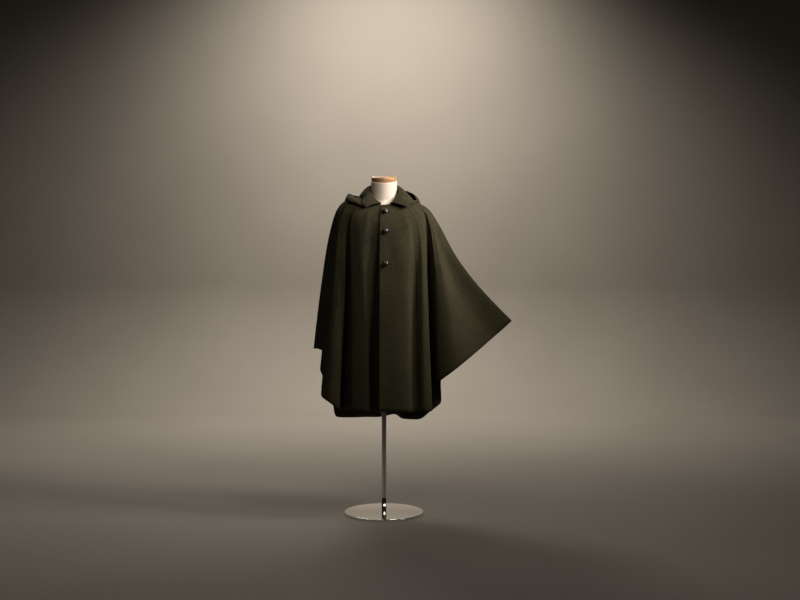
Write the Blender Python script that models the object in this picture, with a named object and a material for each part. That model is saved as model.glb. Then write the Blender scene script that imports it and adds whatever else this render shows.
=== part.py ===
"""Hooded wool cape coat on a dress form stand.

Metres, +Z up. The garment faces -Y and the wearer's left is +X. The origin is on the floor,
on the axis of the stand's pole.

The cape is one draped surface, later cut into its panels. A rib runs down the crest or the
bottom of each fold, from the neckline over the shoulder to the hem. Between the ribs a
smooth curve goes round the body, and along each rib a cubic B-spline goes down.
"""

from collections import namedtuple
import math

import bmesh
import bpy
from mathutils import Vector
import numpy as np

# Cloth
WALL = 0.002
SEAM_GAP = 0.0003
LEFT_WELT_GAP = 0.0012
RIGHT_WELT_GAP = 0.0008

# Neckline of the cape: an ellipse that dips at the front
NECK_HALF_WIDTH = 0.080
NECK_FRONT = 0.090
NECK_BACK = 0.085
NECK_SIDE_Z = 1.513
NECK_FRONT_DIP = 0.0405
NECK_BACK_RISE = 0.012

# Outer corner of the shoulders, as wide as the form under it
SHOULDER_HALF_WIDTH = 0.229
SHOULDER_FRONT = 0.150
SHOULDER_BACK = 0.128
SHOULDER_SIDE_Z = 1.476
SHOULDER_FRONT_Z = 1.400
SHOULDER_BACK_Z = 1.425
SHOULDER_RIGHT_RISE = 0.033
SHOULDER_SQUARE_X = 0.85
SHOULDER_SQUARE_Y = 0.70
YOKE_SHARE = 0.50
YOKE_LIFT = 0.001

# A row for each fold line, counted from the front edge round by the wearer's left.
# neck and shoulder are degrees from the front, x y z is the hem, and the pulls move the
# line toward the body's axis at chest and waist height. tuck sets the upper part back.
Rib = namedtuple("Rib", "name neck shoulder x y z chest_pull waist_pull tuck sharp")
RIBS = (
    Rib("front edge", -9.6, -3.0, -0.020, -0.205, 0.511, 0.000, 0.000, 0.000, 0.0),
    Rib("front flat", 25.0, 27.0, 0.1135, -0.205, 0.511, 0.000, 0.000, 0.000, 0.0),
    Rib("slit fold", 42.0, 39.0, 0.151, -0.155, 0.506, 0.014, 0.018, 0.000, 0.0),
    Rib("front lobe", 54.0, 48.0, 0.188, -0.190, 0.511, 0.000, 0.000, 0.000, 0.0),
    Rib("front lobe edge", 62.0, 56.0, 0.226, -0.174, 0.512, 0.003, 0.004, 0.000, 0.6),
    Rib("deep fold", 70.0, 66.0, 0.218, 0.030, 0.575, 0.010, 0.010, 0.000, 0.3),
    Rib("wing corner", 76.0, 70.5, 0.259, -0.130, 0.644, -0.012, -0.006, 0.000, 0.6),
    Rib("wing lobe", 81.0, 77.0, 0.3465, -0.152, 0.712, -0.002, -0.004, 0.000, 0.0),
    Rib("wing crease", 87.0, 84.0, 0.515, -0.010, 0.839, 0.060, 0.066, 0.000, 0.0),
    Rib("left side seam", 92.0, 90.0, 0.6125, -0.005, 0.928, 0.052, 0.061, 0.000, 0.0),
    Rib("back wing fold", 99.0, 98.0, 0.460, 0.070, 0.830, 0.050, 0.045, 0.000, 0.0),
    Rib("back wing lobe", 107.0, 107.0, 0.360, 0.160, 0.735, 0.020, 0.020, 0.000, 0.0),
    Rib("back fold 1", 115.0, 115.0, 0.282, 0.080, 0.655, 0.015, 0.005, 0.000, 0.0),
    Rib("back lobe 1", 124.0, 123.0, 0.279, 0.150, 0.519, 0.000, 0.000, 0.000, 0.4),
    Rib("back fold 2", 134.0, 132.0, 0.222, 0.095, 0.478, 0.000, 0.000, 0.000, 0.0),
    Rib("back lobe 2", 143.0, 143.0, 0.178, 0.120, 0.441, 0.000, -0.020, 0.000, 0.2),
    Rib("back lobe 2 edge", 153.0, 154.0, 0.095, 0.130, 0.440, 0.000, -0.030, 0.000, 0.2),
    Rib("back lobe 3", 168.0, 168.0, 0.046, 0.270, 0.447, 0.000, 0.000, 0.000, 0.0),
    Rib("back fold 3", 182.0, 182.0, -0.020, 0.205, 0.441, 0.000, 0.000, 0.000, 0.0),
    Rib("back lobe 4", 199.0, 202.0, -0.100, 0.240, 0.436, 0.000, 0.000, 0.000, 0.0),
    Rib("back fold 4", 219.0, 224.0, -0.173, 0.180, 0.441, 0.000, 0.000, 0.000, 0.0),
    Rib("back lobe 5", 237.0, 242.0, -0.243, 0.200, 0.444, 0.000, 0.000, 0.000, 0.4),
    Rib("back fold 5", 249.0, 253.0, -0.262, 0.100, 0.570, 0.000, 0.000, 0.000, 0.0),
    Rib("back lobe 6", 258.0, 260.0, -0.318, 0.150, 0.683, 0.000, 0.000, 0.000, 0.4),
    Rib("back fold 6", 263.0, 265.0, -0.300, 0.080, 0.790, 0.000, 0.000, 0.000, 0.0),
    Rib("right side seam", 268.0, 271.0, -0.340, 0.020, 0.792, -0.013, -0.010, 0.000, 0.4),
    Rib("side fold", 276.0, 279.0, -0.293, -0.030, 0.780, 0.020, 0.012, 0.000, 0.0),
    Rib("side lobe", 285.0, 288.0, -0.291, -0.120, 0.575, 0.000, 0.000, 0.000, 0.5),
    Rib("side lobe face", 293.0, 296.0, -0.250, -0.148, 0.547, -0.004, 0.000, 0.000, 0.0),
    Rib("side lobe edge", 300.0, 304.0, -0.206, -0.138, 0.516, 0.026, 0.000, 0.000, 0.5),
    Rib("sleeve fold", 308.0, 311.0, -0.206, -0.030, 0.502, 0.040, 0.015, 0.000, 0.0),
    Rib("chest lobe edge", 316.0, 318.0, -0.147, -0.148, 0.506, 0.012, 0.000, 0.000, 0.5),
    Rib("chest lobe", 336.0, 339.0, -0.068, -0.163, 0.507, -0.004, 0.000, 0.000, 0.3),
    Rib("edge fold", 349.0, 353.0, -0.050, -0.070, 0.500, -0.010, -0.030, 0.004, 0.0),
    Rib("under edge", 383.6, 366.0, 0.034, -0.125, 0.504, -0.014, -0.018, 0.005, 0.0),
)
LEFT_SEAM = 9
RIGHT_SEAM = 25
LAST_RIB = len(RIBS) - 1
RING_COUNT = 6

# Collar: a row for each place along it, from the wearer's left point round the back. neck is
# where the stand meets the cape, fold is the top line, and the outer edge lies over the
# cape's place edge_u, edge_v with the given lift.
CollarRow = namedtuple("CollarRow", "name neck fold_x fold_y fold_z edge_u edge_v lift")
COLLAR = (
    CollarRow("left point", 0.95, 0.0320, -0.0875, 1.4835, 1.90, 0.165, 0.0210),
    CollarRow("left front", 1.90, 0.0540, -0.0690, 1.5080, 3.20, 0.145, 0.0225),
    CollarRow("left side", 3.60, 0.0665, -0.0300, 1.5410, 4.60, 0.120, 0.0165),
    CollarRow("left shoulder", 8.60, 0.0660, 0.0040, 1.5730, 9.50, 0.065, 0.0165),
    CollarRow("left back", 13.20, 0.0500, 0.0500, 1.5850, 13.20, 0.075, 0.0170),
    CollarRow("back", 17.60, 0.0000, 0.0710, 1.5880, 17.60, 0.120, 0.0180),
    CollarRow("right back", 20.40, -0.0500, 0.0500, 1.5850, 20.60, 0.075, 0.0170),
    CollarRow("right shoulder", 25.00, -0.0660, 0.0040, 1.5730, 24.50, 0.060, 0.0165),
    CollarRow("right side", 28.40, -0.0580, -0.0420, 1.5370, 28.20, 0.045, 0.0160),
    CollarRow("right front", 30.60, -0.0370, -0.0740, 1.5030, 30.30, 0.090, 0.0190),
    CollarRow("right point", 32.90, -0.0125, -0.0895, 1.4820, 31.65, 0.140, 0.0180),
)
COLLAR_FOLD = 0.008
COLLAR_BULGE = 0.006
STAND_INSET = 0.0005
STAND_DROP = 0.0021
SEAT_INSET = 0.0006

# Hood, lying open on the back: a row for each place along its neck seam, from the wearer's
# left front round the back. The cloth goes down over the cape to the turn, and comes back
# up over it, puffed out, to the rim of the face opening. u and v are places on the cape.
HoodRow = namedtuple("HoodRow", "name neck turn_u turn_v puff rim_u rim_v rim_lift")
HOOD = (
    HoodRow("left end", 1.2, 1.6, 0.115, 0.0032, 1.7, 0.100, 0.0097),
    HoodRow("left front", 2.8, 4.4, 0.142, 0.0032, 4.7, 0.128, 0.0100),
    HoodRow("left side", 4.8, 7.2, 0.148, 0.0040, 7.2, 0.136, 0.0105),
    HoodRow("left shoulder", 7.5, 9.0, 0.134, 0.0085, 9.0, 0.115, 0.0190),
    HoodRow("left outer back", 10.5, 11.3, 0.172, 0.0180, 10.8, 0.100, 0.0378),
    HoodRow("left mid back", 13.0, 13.2, 0.280, 0.0300, 12.9, 0.077, 0.0548),
    HoodRow("left inner back", 15.0, 14.8, 0.380, 0.0450, 14.5, 0.050, 0.0642),
    HoodRow("left centre", 16.6, 16.4, 0.440, 0.0600, 16.4, 0.070, 0.0600),
    HoodRow("centre", 17.6, 17.7, 0.460, 0.0620, 17.7, 0.110, 0.0560),
    HoodRow("right centre", 18.6, 18.9, 0.440, 0.0600, 18.8, 0.095, 0.0500),
    HoodRow("right inner back", 19.8, 20.2, 0.380, 0.0450, 19.9, 0.095, 0.0415),
    HoodRow("right mid back", 21.0, 21.3, 0.270, 0.0300, 21.0, 0.113, 0.0290),
    HoodRow("right outer back", 23.0, 22.9, 0.210, 0.0200, 22.7, 0.135, 0.0250),
    HoodRow("right shoulder", 25.0, 25.0, 0.190, 0.0140, 24.8, 0.150, 0.0266),
    HoodRow("right side", 27.3, 27.0, 0.215, 0.0130, 27.0, 0.113, 0.0130),
    HoodRow("right front", 29.5, 29.4, 0.172, 0.0100, 29.8, 0.088, 0.0110),
    HoodRow("right end", 31.6, 31.6, 0.138, 0.0060, 31.4, 0.090, 0.0105),
)
HOOD_CENTRE = 8
HOOD_LAY = 0.0065
HOOD_NECK_V = 0.012
HOOD_NECK_LIFT = 0.0034

# Arm slits: the rib place and the first and last row that each is cut along
SLIT_WIDTH = 0.008
LEFT_SLIT_U = 2.25
RIGHT_SLIT_U = 28.8
SLIT_ROWS = (10, 14)
SLIT_CLEAR = 0.5
WELT_WIDTH = 0.018
WELT_STEPS = 8

# Buttons: where each sits on the left front, and the outline of its half section
BUTTON_PLACES = ((0.25, 0.130), (0.20, 0.365), (0.20, 0.560))
BUTTON_LIFT = 0.0007
BUTTON_OUTLINE = ((0.0000, 0.0000), (0.0040, 0.0000), (0.0040, 0.0035), (0.0110, 0.0043),
                  (0.0135, 0.0075), (0.0122, 0.0112), (0.0075, 0.0142), (0.0000, 0.0155))

# Dress form: a row for each level section. square is 2 for an ellipse, less for a ridge.
FormRow = namedtuple("FormRow", "z half_width front back square")
FORM = (
    FormRow(0.900, 0.130, 0.0850, 0.0880, 2.20),
    FormRow(0.912, 0.142, 0.0940, 0.0970, 2.20),
    FormRow(0.970, 0.150, 0.0980, 0.1020, 2.20),
    FormRow(1.080, 0.142, 0.0920, 0.0900, 2.20),
    FormRow(1.200, 0.148, 0.1020, 0.0960, 2.20),
    FormRow(1.320, 0.168, 0.1120, 0.1060, 2.20),
    FormRow(1.400, 0.186, 0.1080, 0.1060, 2.10),
    FormRow(1.440, 0.192, 0.0960, 0.0980, 1.90),
    FormRow(1.460, 0.186, 0.0860, 0.0900, 1.70),
    FormRow(1.475, 0.170, 0.0780, 0.0820, 1.50),
    FormRow(1.486, 0.142, 0.0700, 0.0740, 1.40),
    FormRow(1.494, 0.114, 0.0655, 0.0685, 1.45),
    FormRow(1.500, 0.090, 0.0635, 0.0655, 1.60),
    FormRow(1.507, 0.0725, 0.0627, 0.0637, 1.85),
    FormRow(1.516, 0.0655, 0.0625, 0.0627, 2.00),
    FormRow(1.530, 0.0627, 0.0625, 0.0625, 2.00),
    FormRow(1.550, 0.0625, 0.0625, 0.0625, 2.00),
    FormRow(1.594, 0.0625, 0.0625, 0.0625, 2.00),
)
FORM_SIDES = 36
NECK_TILT = math.radians(12)
TILT_START_Z = 1.530

# Cap, pole and base
CAP_RADIUS = 0.0602
CAP_THICK = 0.0226
CAP_ROUND = 0.006
POLE_RADIUS = 0.0115
BASE_RADIUS = 0.190
BASE_THICK = 0.012
BASE_ROUND = 0.003
TURNED_SIDES = 32
CONTACT_GAP = 0.0003

# Columns in each span between two ribs, and rows down each panel
SPAN_COLUMNS = 4
BACK_SPAN_COLUMNS = 3
PANEL_ROWS = 19
COLLAR_COLUMNS = 3
COLLAR_ROWS = 7
STAND_ROWS = 4
HOOD_COLUMNS = 3
HOOD_ROWS = 16

CLOTH_COLOUR = (0.030, 0.027, 0.013)
BUTTON_COLOUR = (0.045, 0.018, 0.010)
FORM_COLOUR = (0.73, 0.58, 0.47)
CAP_COLOUR = (0.55, 0.31, 0.14)
CHROME_COLOUR = (0.80, 0.80, 0.80)


def curve_between(points, at, sharp=0.0):
    """Smooth curve through the first axis of points, read at the places in at.

    Each span is a cubic with the same end slopes as its neighbours. The slopes allow for
    uneven spacing, so close ribs make a tight fold with no overshoot. sharp shortens the
    slopes, from 0 for a round bend to 1 for a corner.
    """
    steps = np.linalg.norm(np.diff(points, axis=0), axis=-1, keepdims=True)
    spacing = np.sqrt(np.maximum(steps, 1e-6))
    rises = np.diff(points, axis=0) / spacing
    before, after = spacing[:-1], spacing[1:]
    slopes = np.empty_like(points)
    slopes[1:-1] = (rises[:-1] * after + rises[1:] * before) / (before + after)
    slopes[0] = rises[0]
    slopes[-1] = rises[-1]
    slopes *= 1.0 - np.reshape(sharp, (-1,) + (1,) * (points.ndim - 1))
    span = np.clip(np.floor(at).astype(int), 0, len(points) - 2)
    t = (np.asarray(at) - span).reshape((-1,) + (1,) * (points.ndim - 1))
    width = spacing[span]
    start, end = points[span], points[span + 1]
    return ((2 * t**3 - 3 * t**2 + 1) * start + (t**3 - 2 * t**2 + t) * width * slopes[span]
            + (3 * t**2 - 2 * t**3) * end + (t**3 - t**2) * width * slopes[span + 1])


def spline_weights(at, count):
    """Weights of a clamped cubic B-spline with count control points at places 0 to 1."""
    at = np.clip(np.asarray(at, float), 0.0, 1.0 - 1e-9)
    inner = np.linspace(0.0, 1.0, count - 2)
    knots = np.concatenate([[0.0] * 3, inner, [1.0] * 3])
    weights = ((knots[:-1] <= at[:, None]) & (at[:, None] < knots[1:])).astype(float)
    for degree in (1, 2, 3):
        left = knots[degree:-1] - knots[:-1 - degree]
        right = knots[1 + degree:] - knots[1:-degree]
        rise = np.divide(at[:, None] - knots[:-1 - degree], left, where=left > 0,
                         out=np.zeros((len(at), len(left))))
        fall = np.divide(knots[1 + degree:] - at[:, None], right, where=right > 0,
                         out=np.zeros((len(at), len(right))))
        weights = rise * weights[:, :-1] + fall * weights[:, 1:]
    return weights


def neckline(degrees):
    """Point of the cape's neckline at an angle from the front."""
    turn = math.radians(degrees)
    ahead = math.cos(turn)
    depth = NECK_FRONT if ahead > 0 else NECK_BACK
    z = NECK_SIDE_Z + (-NECK_FRONT_DIP * ahead**1.5 if ahead > 0 else NECK_BACK_RISE * ahead**2)
    return np.array([NECK_HALF_WIDTH * math.sin(turn), -depth * ahead, z])


def shoulder_line(degrees):
    """Point of the rounded square round the shoulders at an angle from the front."""
    turn = math.radians(degrees)
    side, ahead = math.sin(turn), math.cos(turn)
    depth = SHOULDER_FRONT if ahead > 0 else SHOULDER_BACK
    low_z = SHOULDER_FRONT_Z if ahead > 0 else SHOULDER_BACK_Z
    side_z = SHOULDER_SIDE_Z + (SHOULDER_RIGHT_RISE if side < 0 else 0.0)
    return np.array([
        SHOULDER_HALF_WIDTH * math.copysign(abs(side)**SHOULDER_SQUARE_X, side),
        -depth * math.copysign(abs(ahead)**SHOULDER_SQUARE_Y, ahead),
        low_z + (side_z - low_z) * abs(side)**2,
    ])


def rib_rings(rib):
    """The six control points of one rib: neck, yoke, shoulder, chest, waist and hem."""
    neck = neckline(rib.neck)
    shoulder = shoulder_line(rib.shoulder)
    hem = np.array([rib.x, rib.y, rib.z])
    for point in (neck, shoulder):
        inward = -point[:2] / np.linalg.norm(point[:2])
        point[:2] += rib.tuck * inward
    yoke = neck + (shoulder - neck) * YOKE_SHARE + np.array([0.0, 0.0, YOKE_LIFT])
    chest = shoulder + (hem - shoulder) / 3
    waist = shoulder + (hem - shoulder) * 2 / 3
    for point, pull in ((chest, rib.chest_pull), (waist, rib.waist_pull)):
        point[:2] -= pull * point[:2] / np.linalg.norm(point[:2])
    return np.array([neck, yoke, shoulder, chest, waist, hem])


CAPE_RINGS = np.array([rib_rings(rib) for rib in RIBS])
CAPE_SHARP = np.array([rib.sharp for rib in RIBS])


def cape_points(u, v):
    """Outer face of the cape: u counts ribs round the body, v runs 0 to 1 down to the hem."""
    rings = curve_between(CAPE_RINGS, np.asarray(u, float), CAPE_SHARP)
    return np.einsum("vr,urk->uvk", spline_weights(v, RING_COUNT), rings)


def cape_normals(u, v):
    """Unit normals of the cape's outer face, pointing away from the body."""
    step = 1e-3
    u, v = np.asarray(u, float), np.asarray(v, float)
    u_low, u_high = np.clip(u - step, 0, LAST_RIB), np.clip(u + step, 0, LAST_RIB)
    v_low, v_high = np.clip(v - step, 0, 1), np.clip(v + step, 0, 1)
    round_body = cape_points(u_high, v) - cape_points(u_low, v)
    down = cape_points(u, v_high) - cape_points(u, v_low)
    normals = np.cross(down, round_body)
    return normals / np.linalg.norm(normals, axis=-1, keepdims=True)


def material(name, colour, roughness, metallic=0.0):
    """A plain Principled material."""
    made = bpy.data.materials.new(name)
    made.use_nodes = True
    shader = made.node_tree.nodes["Principled BSDF"]
    shader.inputs["Base Color"].default_value = (*colour, 1.0)
    shader.inputs["Roughness"].default_value = roughness
    shader.inputs["Metallic"].default_value = metallic
    made.diffuse_color = (*colour, 1.0)
    return made


def add_object(name, points, faces, look):
    """Put a closed mesh in the scene as one named piece."""
    mesh = bpy.data.meshes.new(name)
    mesh.from_pydata([tuple(point) for point in points], [], [tuple(face) for face in faces])
    mesh.validate()
    mesh.shade_smooth()
    mesh.set_sharp_from_angle(angle=math.radians(50))
    mesh.materials.append(look)
    piece = bpy.data.objects.new(name, mesh)
    bpy.context.scene.collection.objects.link(piece)
    return piece


def grid_quads(columns, rows):
    """Corner numbers of the quads of a grid, facing the way the cape's normals point."""
    corner = np.arange(columns * rows).reshape(columns, rows)
    return np.stack([corner[:-1, :-1], corner[:-1, 1:], corner[1:, 1:], corner[1:, :-1]],
                    axis=-1).reshape(-1, 4)


def thick_sheet(name, points, normals, look, wall=WALL, slit=None):
    """A sheet of cloth as a closed wall: outer face, inner face and the edges between.

    slit is (column, first row, last row, width): the wall is cut along that column and
    its two edges part by the width.
    """
    columns, rows = points.shape[:2]
    quads = grid_quads(columns, rows)
    outer = points.reshape(-1, 3).copy()
    facing = normals.reshape(-1, 3).copy()
    if slit:
        column, first, last, width = slit
        cut = column * rows + np.arange(first + 1, last)
        across = outer[cut + rows] - outer[cut - rows]
        across /= np.linalg.norm(across, axis=1, keepdims=True)
        belly = np.sin(np.linspace(0, np.pi, last - first + 1))[1:-1, None]
        twin = len(outer) + np.arange(len(cut))
        outer = np.vstack([outer, outer[cut] + across * belly * width / 2])
        outer[cut] -= across * belly * width / 2
        facing = np.vstack([facing, facing[cut]])
        moved = np.arange(len(outer))
        moved[cut] = twin
        beyond = quads.min(axis=1) >= column * rows
        quads[beyond] = moved[quads[beyond]]
    count = len(outer)
    inner = outer - facing * wall
    ahead = np.concatenate([quads[:, [k, (k + 1) % 4]] for k in range(4)])
    code = ahead[:, 0] * count + ahead[:, 1]
    back_code = ahead[:, 1] * count + ahead[:, 0]
    border = ahead[~np.isin(code, back_code)]
    rims = np.stack([border[:, 1], border[:, 0], border[:, 0] + count, border[:, 1] + count], axis=1)
    faces = np.vstack([quads, quads[:, ::-1] + count, rims])
    return add_object(name, np.vstack([outer, inner]), faces.tolist(), look)


def part_at_seam(points, first, last):
    """Move the first and last columns of a panel half a seam gap into the panel."""
    for wanted, edge, inside in ((first, 0, 1), (last, -1, -2)):
        if wanted:
            across = points[inside] - points[edge]
            across /= np.linalg.norm(across, axis=1, keepdims=True)
            points[edge] += across * SEAM_GAP / 2
    return points


def panel_columns(start, end, columns_each, slit_u=None):
    """Places round the body of a panel's columns, with one on its arm slit and none close to it."""
    u = np.linspace(start, end, (end - start) * columns_each + 1)
    if slit_u is None:
        return u
    return np.union1d(u[abs(u - slit_u) > SLIT_CLEAR / columns_each], [slit_u])


def panel(name, start, end, columns_each, look, seams, slit_u=None):
    """One panel of the cape between two ribs, cut along its arm slit if it has one."""
    u = panel_columns(start, end, columns_each, slit_u)
    v = np.linspace(0.0, 1.0, PANEL_ROWS)
    points = part_at_seam(cape_points(u, v), *seams)
    slit = None if slit_u is None else (int(np.argmin(abs(u - slit_u))), *SLIT_ROWS, SLIT_WIDTH)
    return thick_sheet(name, points, cape_normals(u, v), look, slit=slit)


def lifted(u, v, lift):
    """Places on the cape, one for each number in u and v, moved out from its face."""
    u, v, lift = np.broadcast_arrays(*(np.asarray(k, float) for k in (u, v, lift)))
    step = 1e-3

    def place(a, b):
        rings = curve_between(CAPE_RINGS, np.clip(a, 0, LAST_RIB).ravel(), CAPE_SHARP)
        weights = spline_weights(b.ravel(), RING_COUNT)
        return np.einsum("nr,nrk->nk", weights, rings).reshape(a.shape + (3,))

    round_body = place(u + step, v) - place(u - step, v)
    down = place(u, v + step) - place(u, np.maximum(v - step, 0))
    normals = np.cross(down, round_body)
    normals /= np.linalg.norm(normals, axis=-1, keepdims=True)
    return place(u, v) + normals * lift[..., None]


def table_at(table, at):
    """The numbers of a table's rows, read smoothly between them at the places in at."""
    numbers = np.array([row[1:] for row in table])
    smooth = np.stack([curve_between(column[:, None], at)[:, 0] for column in numbers.T], axis=1)
    return type(table[0])(None, *smooth.T)


def with_normals(build, along, down):
    """Points and unit normals of a sheet that build(along, down) returns as a grid."""
    step = 1e-3
    points = build(along, down)
    sideways = build(along + step, down) - build(along - step, down)
    fall = build(along, np.minimum(down + step, 1)) - build(along, np.maximum(down - step, 0))
    normals = np.cross(fall, sideways)
    return points, normals / np.linalg.norm(normals, axis=-1, keepdims=True)


def collar_frame(along):
    """Fold line, outward direction and outer edge of the collar at places along it."""
    row = table_at(COLLAR, along)
    fold = np.stack([row.fold_x, row.fold_y, row.fold_z], axis=1)
    out = fold * (1, 1, 0)
    out /= np.linalg.norm(out, axis=1, keepdims=True)
    return row, fold, out, lifted(row.edge_u, row.edge_v, row.lift)


def collar_fall(along, down):
    """The part of the collar that folds over and lies on the shoulders."""
    row, fold, out, edge = collar_frame(along)
    bulge = (out + (0, 0, 1)) * COLLAR_BULGE
    rings = np.stack([fold, fold + out * COLLAR_FOLD, fold + (edge - fold) * 0.45 + bulge,
                      fold + (edge - fold) * 0.75 + bulge * 0.5, edge], axis=1)
    return np.einsum("vr,urk->uvk", spline_weights(down, rings.shape[1]), rings)


def collar_stand(along, down):
    """The band that stands up round the neck, from the fold line down to the cape."""
    row, fold, out, edge = collar_frame(along)
    top = fold - out * STAND_INSET - (0, 0, STAND_DROP)
    seat = lifted(row.neck, 0.0, 0.0) - out * SEAT_INSET
    return top[:, None] + (seat - top)[:, None] * np.reshape(down, (1, -1, 1))


def hood_cloth(along, down):
    """The hood as places on the cape with a lift: down to the turn, then up to the rim."""
    row = table_at(HOOD, along)
    low, high = row.turn_v, row.rim_v
    lay = np.full_like(low, HOOD_LAY)
    path = np.stack([
        np.stack([row.neck, np.full_like(low, HOOD_NECK_V), np.full_like(low, HOOD_NECK_LIFT)],
                 axis=1),
        np.stack([row.neck * 0.6 + row.turn_u * 0.4, low * 0.45, lay], axis=1),
        np.stack([row.turn_u, low * 0.9, lay], axis=1),
        np.stack([row.turn_u, low, lay + row.puff * 0.4], axis=1),
        np.stack([row.turn_u, low * 0.9, lay + row.puff], axis=1),
        np.stack([(row.turn_u + row.rim_u) / 2, (low + high) / 2,
                  np.maximum(lay + row.puff, row.rim_lift)], axis=1),
        np.stack([row.rim_u, high, row.rim_lift], axis=1),
    ], axis=1)
    places = np.einsum("vr,urk->uvk", spline_weights(down, path.shape[1]), path)
    return lifted(places[..., 0], places[..., 1], places[..., 2])


def collar_and_hood(look):
    """The two pieces of the collar and the two halves of the hood."""
    last = len(COLLAR) - 1
    along = np.linspace(0, last, last * COLLAR_COLUMNS + 1)
    for name, build, rows in (("collar_fall", collar_fall, COLLAR_ROWS),
                              ("collar_stand", collar_stand, STAND_ROWS)):
        thick_sheet(name, *with_normals(build, along, np.linspace(0, 1, rows)), look)
    last = len(HOOD) - 1
    for name, start, end, seams in (("hood_left", 0, HOOD_CENTRE, (False, True)),
                                    ("hood_right", HOOD_CENTRE, last, (True, False))):
        along = np.linspace(start, end, (end - start) * HOOD_COLUMNS + 1)
        points, normals = with_normals(hood_cloth, along, np.linspace(0, 1, HOOD_ROWS))
        thick_sheet(name, part_at_seam(points, *seams), normals, look)


def welt(name, slit_u, side, gap, look):
    """A narrow strip beside an arm slit, made from the panel's own points, moved out."""
    rows = np.linspace(0.0, 1.0, PANEL_ROWS)
    v = np.linspace(rows[SLIT_ROWS[0]], rows[SLIT_ROWS[1]], WELT_STEPS + 1)
    near = cape_points([slit_u], v)[0]
    beyond = cape_points([slit_u + side * 0.1], v)[0]
    per_metre = 0.1 / np.linalg.norm(beyond - near, axis=1)
    inner_u = slit_u + side * per_metre * (SLIT_WIDTH / 2 + SEAM_GAP)
    outer_u = inner_u + side * per_metre * WELT_WIDTH
    columns = [inner_u, (inner_u + outer_u) / 2, outer_u]
    if side < 0:
        columns.reverse()
    points = np.array([[cape_points([u], [w])[0, 0] for u, w in zip(column, v)] for column in columns])
    normals = np.array([[cape_normals([u], [w])[0, 0] for u, w in zip(column, v)] for column in columns])
    return thick_sheet(name, points + normals * (WALL + gap), normals, look)


def turned(name, outline, look, sides=TURNED_SIDES):
    """A solid turned about Z from its half outline, which starts and ends on the axis."""
    shape = bmesh.new()
    verts = [shape.verts.new((radius, 0.0, height)) for radius, height in outline]
    edges = [shape.edges.new(pair) for pair in zip(verts, verts[1:])]
    bmesh.ops.spin(shape, geom=verts + edges, cent=(0, 0, 0), axis=(0, 0, 1),
                   angle=math.tau, steps=sides, use_duplicate=False)
    bmesh.ops.remove_doubles(shape, verts=shape.verts, dist=1e-5)
    bmesh.ops.recalc_face_normals(shape, faces=shape.faces)
    mesh = bpy.data.meshes.new(name)
    shape.to_mesh(mesh)
    shape.free()
    mesh.shade_smooth()
    mesh.set_sharp_from_angle(angle=math.radians(50))
    mesh.materials.append(look)
    piece = bpy.data.objects.new(name, mesh)
    bpy.context.scene.collection.objects.link(piece)
    return piece


def rounded_disc(radius, thick, rounding, steps=2):
    """Half outline of a disc with a rounded rim, standing on z = 0."""
    outline = [(0.0, 0.0)]
    for centre_z, start in ((rounding, -90), (thick - rounding, 0)):
        for step in range(steps + 1):
            turn = math.radians(start + 90 * step / steps)
            outline.append((radius - rounding + rounding * math.cos(turn),
                            centre_z + rounding * math.sin(turn)))
    outline.append((0.0, thick))
    return outline


def buttons(look):
    """The three shank buttons, square to the cloth under each."""
    for number, (u, v) in enumerate(BUTTON_PLACES, start=1):
        button = turned(f"button_{number}", BUTTON_OUTLINE, look, sides=16)
        facing = Vector(cape_normals([u], [v])[0, 0])
        button.location = lifted(u, v, BUTTON_LIFT)
        button.rotation_euler = facing.to_track_quat("Z", "Y").to_euler()


def form_section(row):
    """One level section of the dress form. Above the shoulders it tilts with the neck."""
    turn = np.linspace(0, math.tau, FORM_SIDES, endpoint=False)
    side, ahead = np.sin(turn), np.cos(turn)
    depth = np.where(ahead > 0, row.front, row.back)
    power = 2 / row.square
    x = row.half_width * np.sign(side) * abs(side)**power
    y = -depth * np.sign(ahead) * abs(ahead)**power
    share = max(0.0, row.z - TILT_START_Z) / (FORM[-1].z - TILT_START_Z)
    z = row.z + y * math.tan(NECK_TILT) * share
    return np.stack([x, y, z], axis=1)


def dress_form(look):
    """The limbless body and neck: sections joined by rings of faces, closed at both ends."""
    points = np.concatenate([form_section(row) for row in FORM])
    faces = [tuple(reversed(range(FORM_SIDES)))]
    for level in range(len(FORM) - 1):
        low = level * FORM_SIDES
        for side in range(FORM_SIDES):
            after = (side + 1) % FORM_SIDES
            faces.append((low + side, low + after, low + after + FORM_SIDES, low + side + FORM_SIDES))
    top = (len(FORM) - 1) * FORM_SIDES
    faces.append(tuple(range(top, top + FORM_SIDES)))
    return add_object("dress_form", points, faces, look)


def stand(cap_look, chrome):
    """The wooden neck cap, the pole and the base plate."""
    cap = turned("neck_cap", rounded_disc(CAP_RADIUS, CAP_THICK, CAP_ROUND), cap_look)
    cap.rotation_euler.x = NECK_TILT
    up = Vector((0, -math.sin(NECK_TILT), math.cos(NECK_TILT)))
    cap.location = Vector((0, 0, FORM[-1].z)) + up * CONTACT_GAP
    pole_foot = BASE_THICK + CONTACT_GAP
    pole_length = FORM[0].z - CONTACT_GAP - pole_foot
    pole = turned("pole", ((0, 0), (POLE_RADIUS, 0), (POLE_RADIUS, pole_length), (0, pole_length)),
                  chrome, sides=24)
    pole.location.z = pole_foot
    turned("base_plate", rounded_disc(BASE_RADIUS, BASE_THICK, BASE_ROUND), chrome)


def clear_scene():
    """Remove every object, so that the script can run again from the text editor."""
    for old in list(bpy.data.objects):
        bpy.data.objects.remove(old, do_unlink=True)


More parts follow.
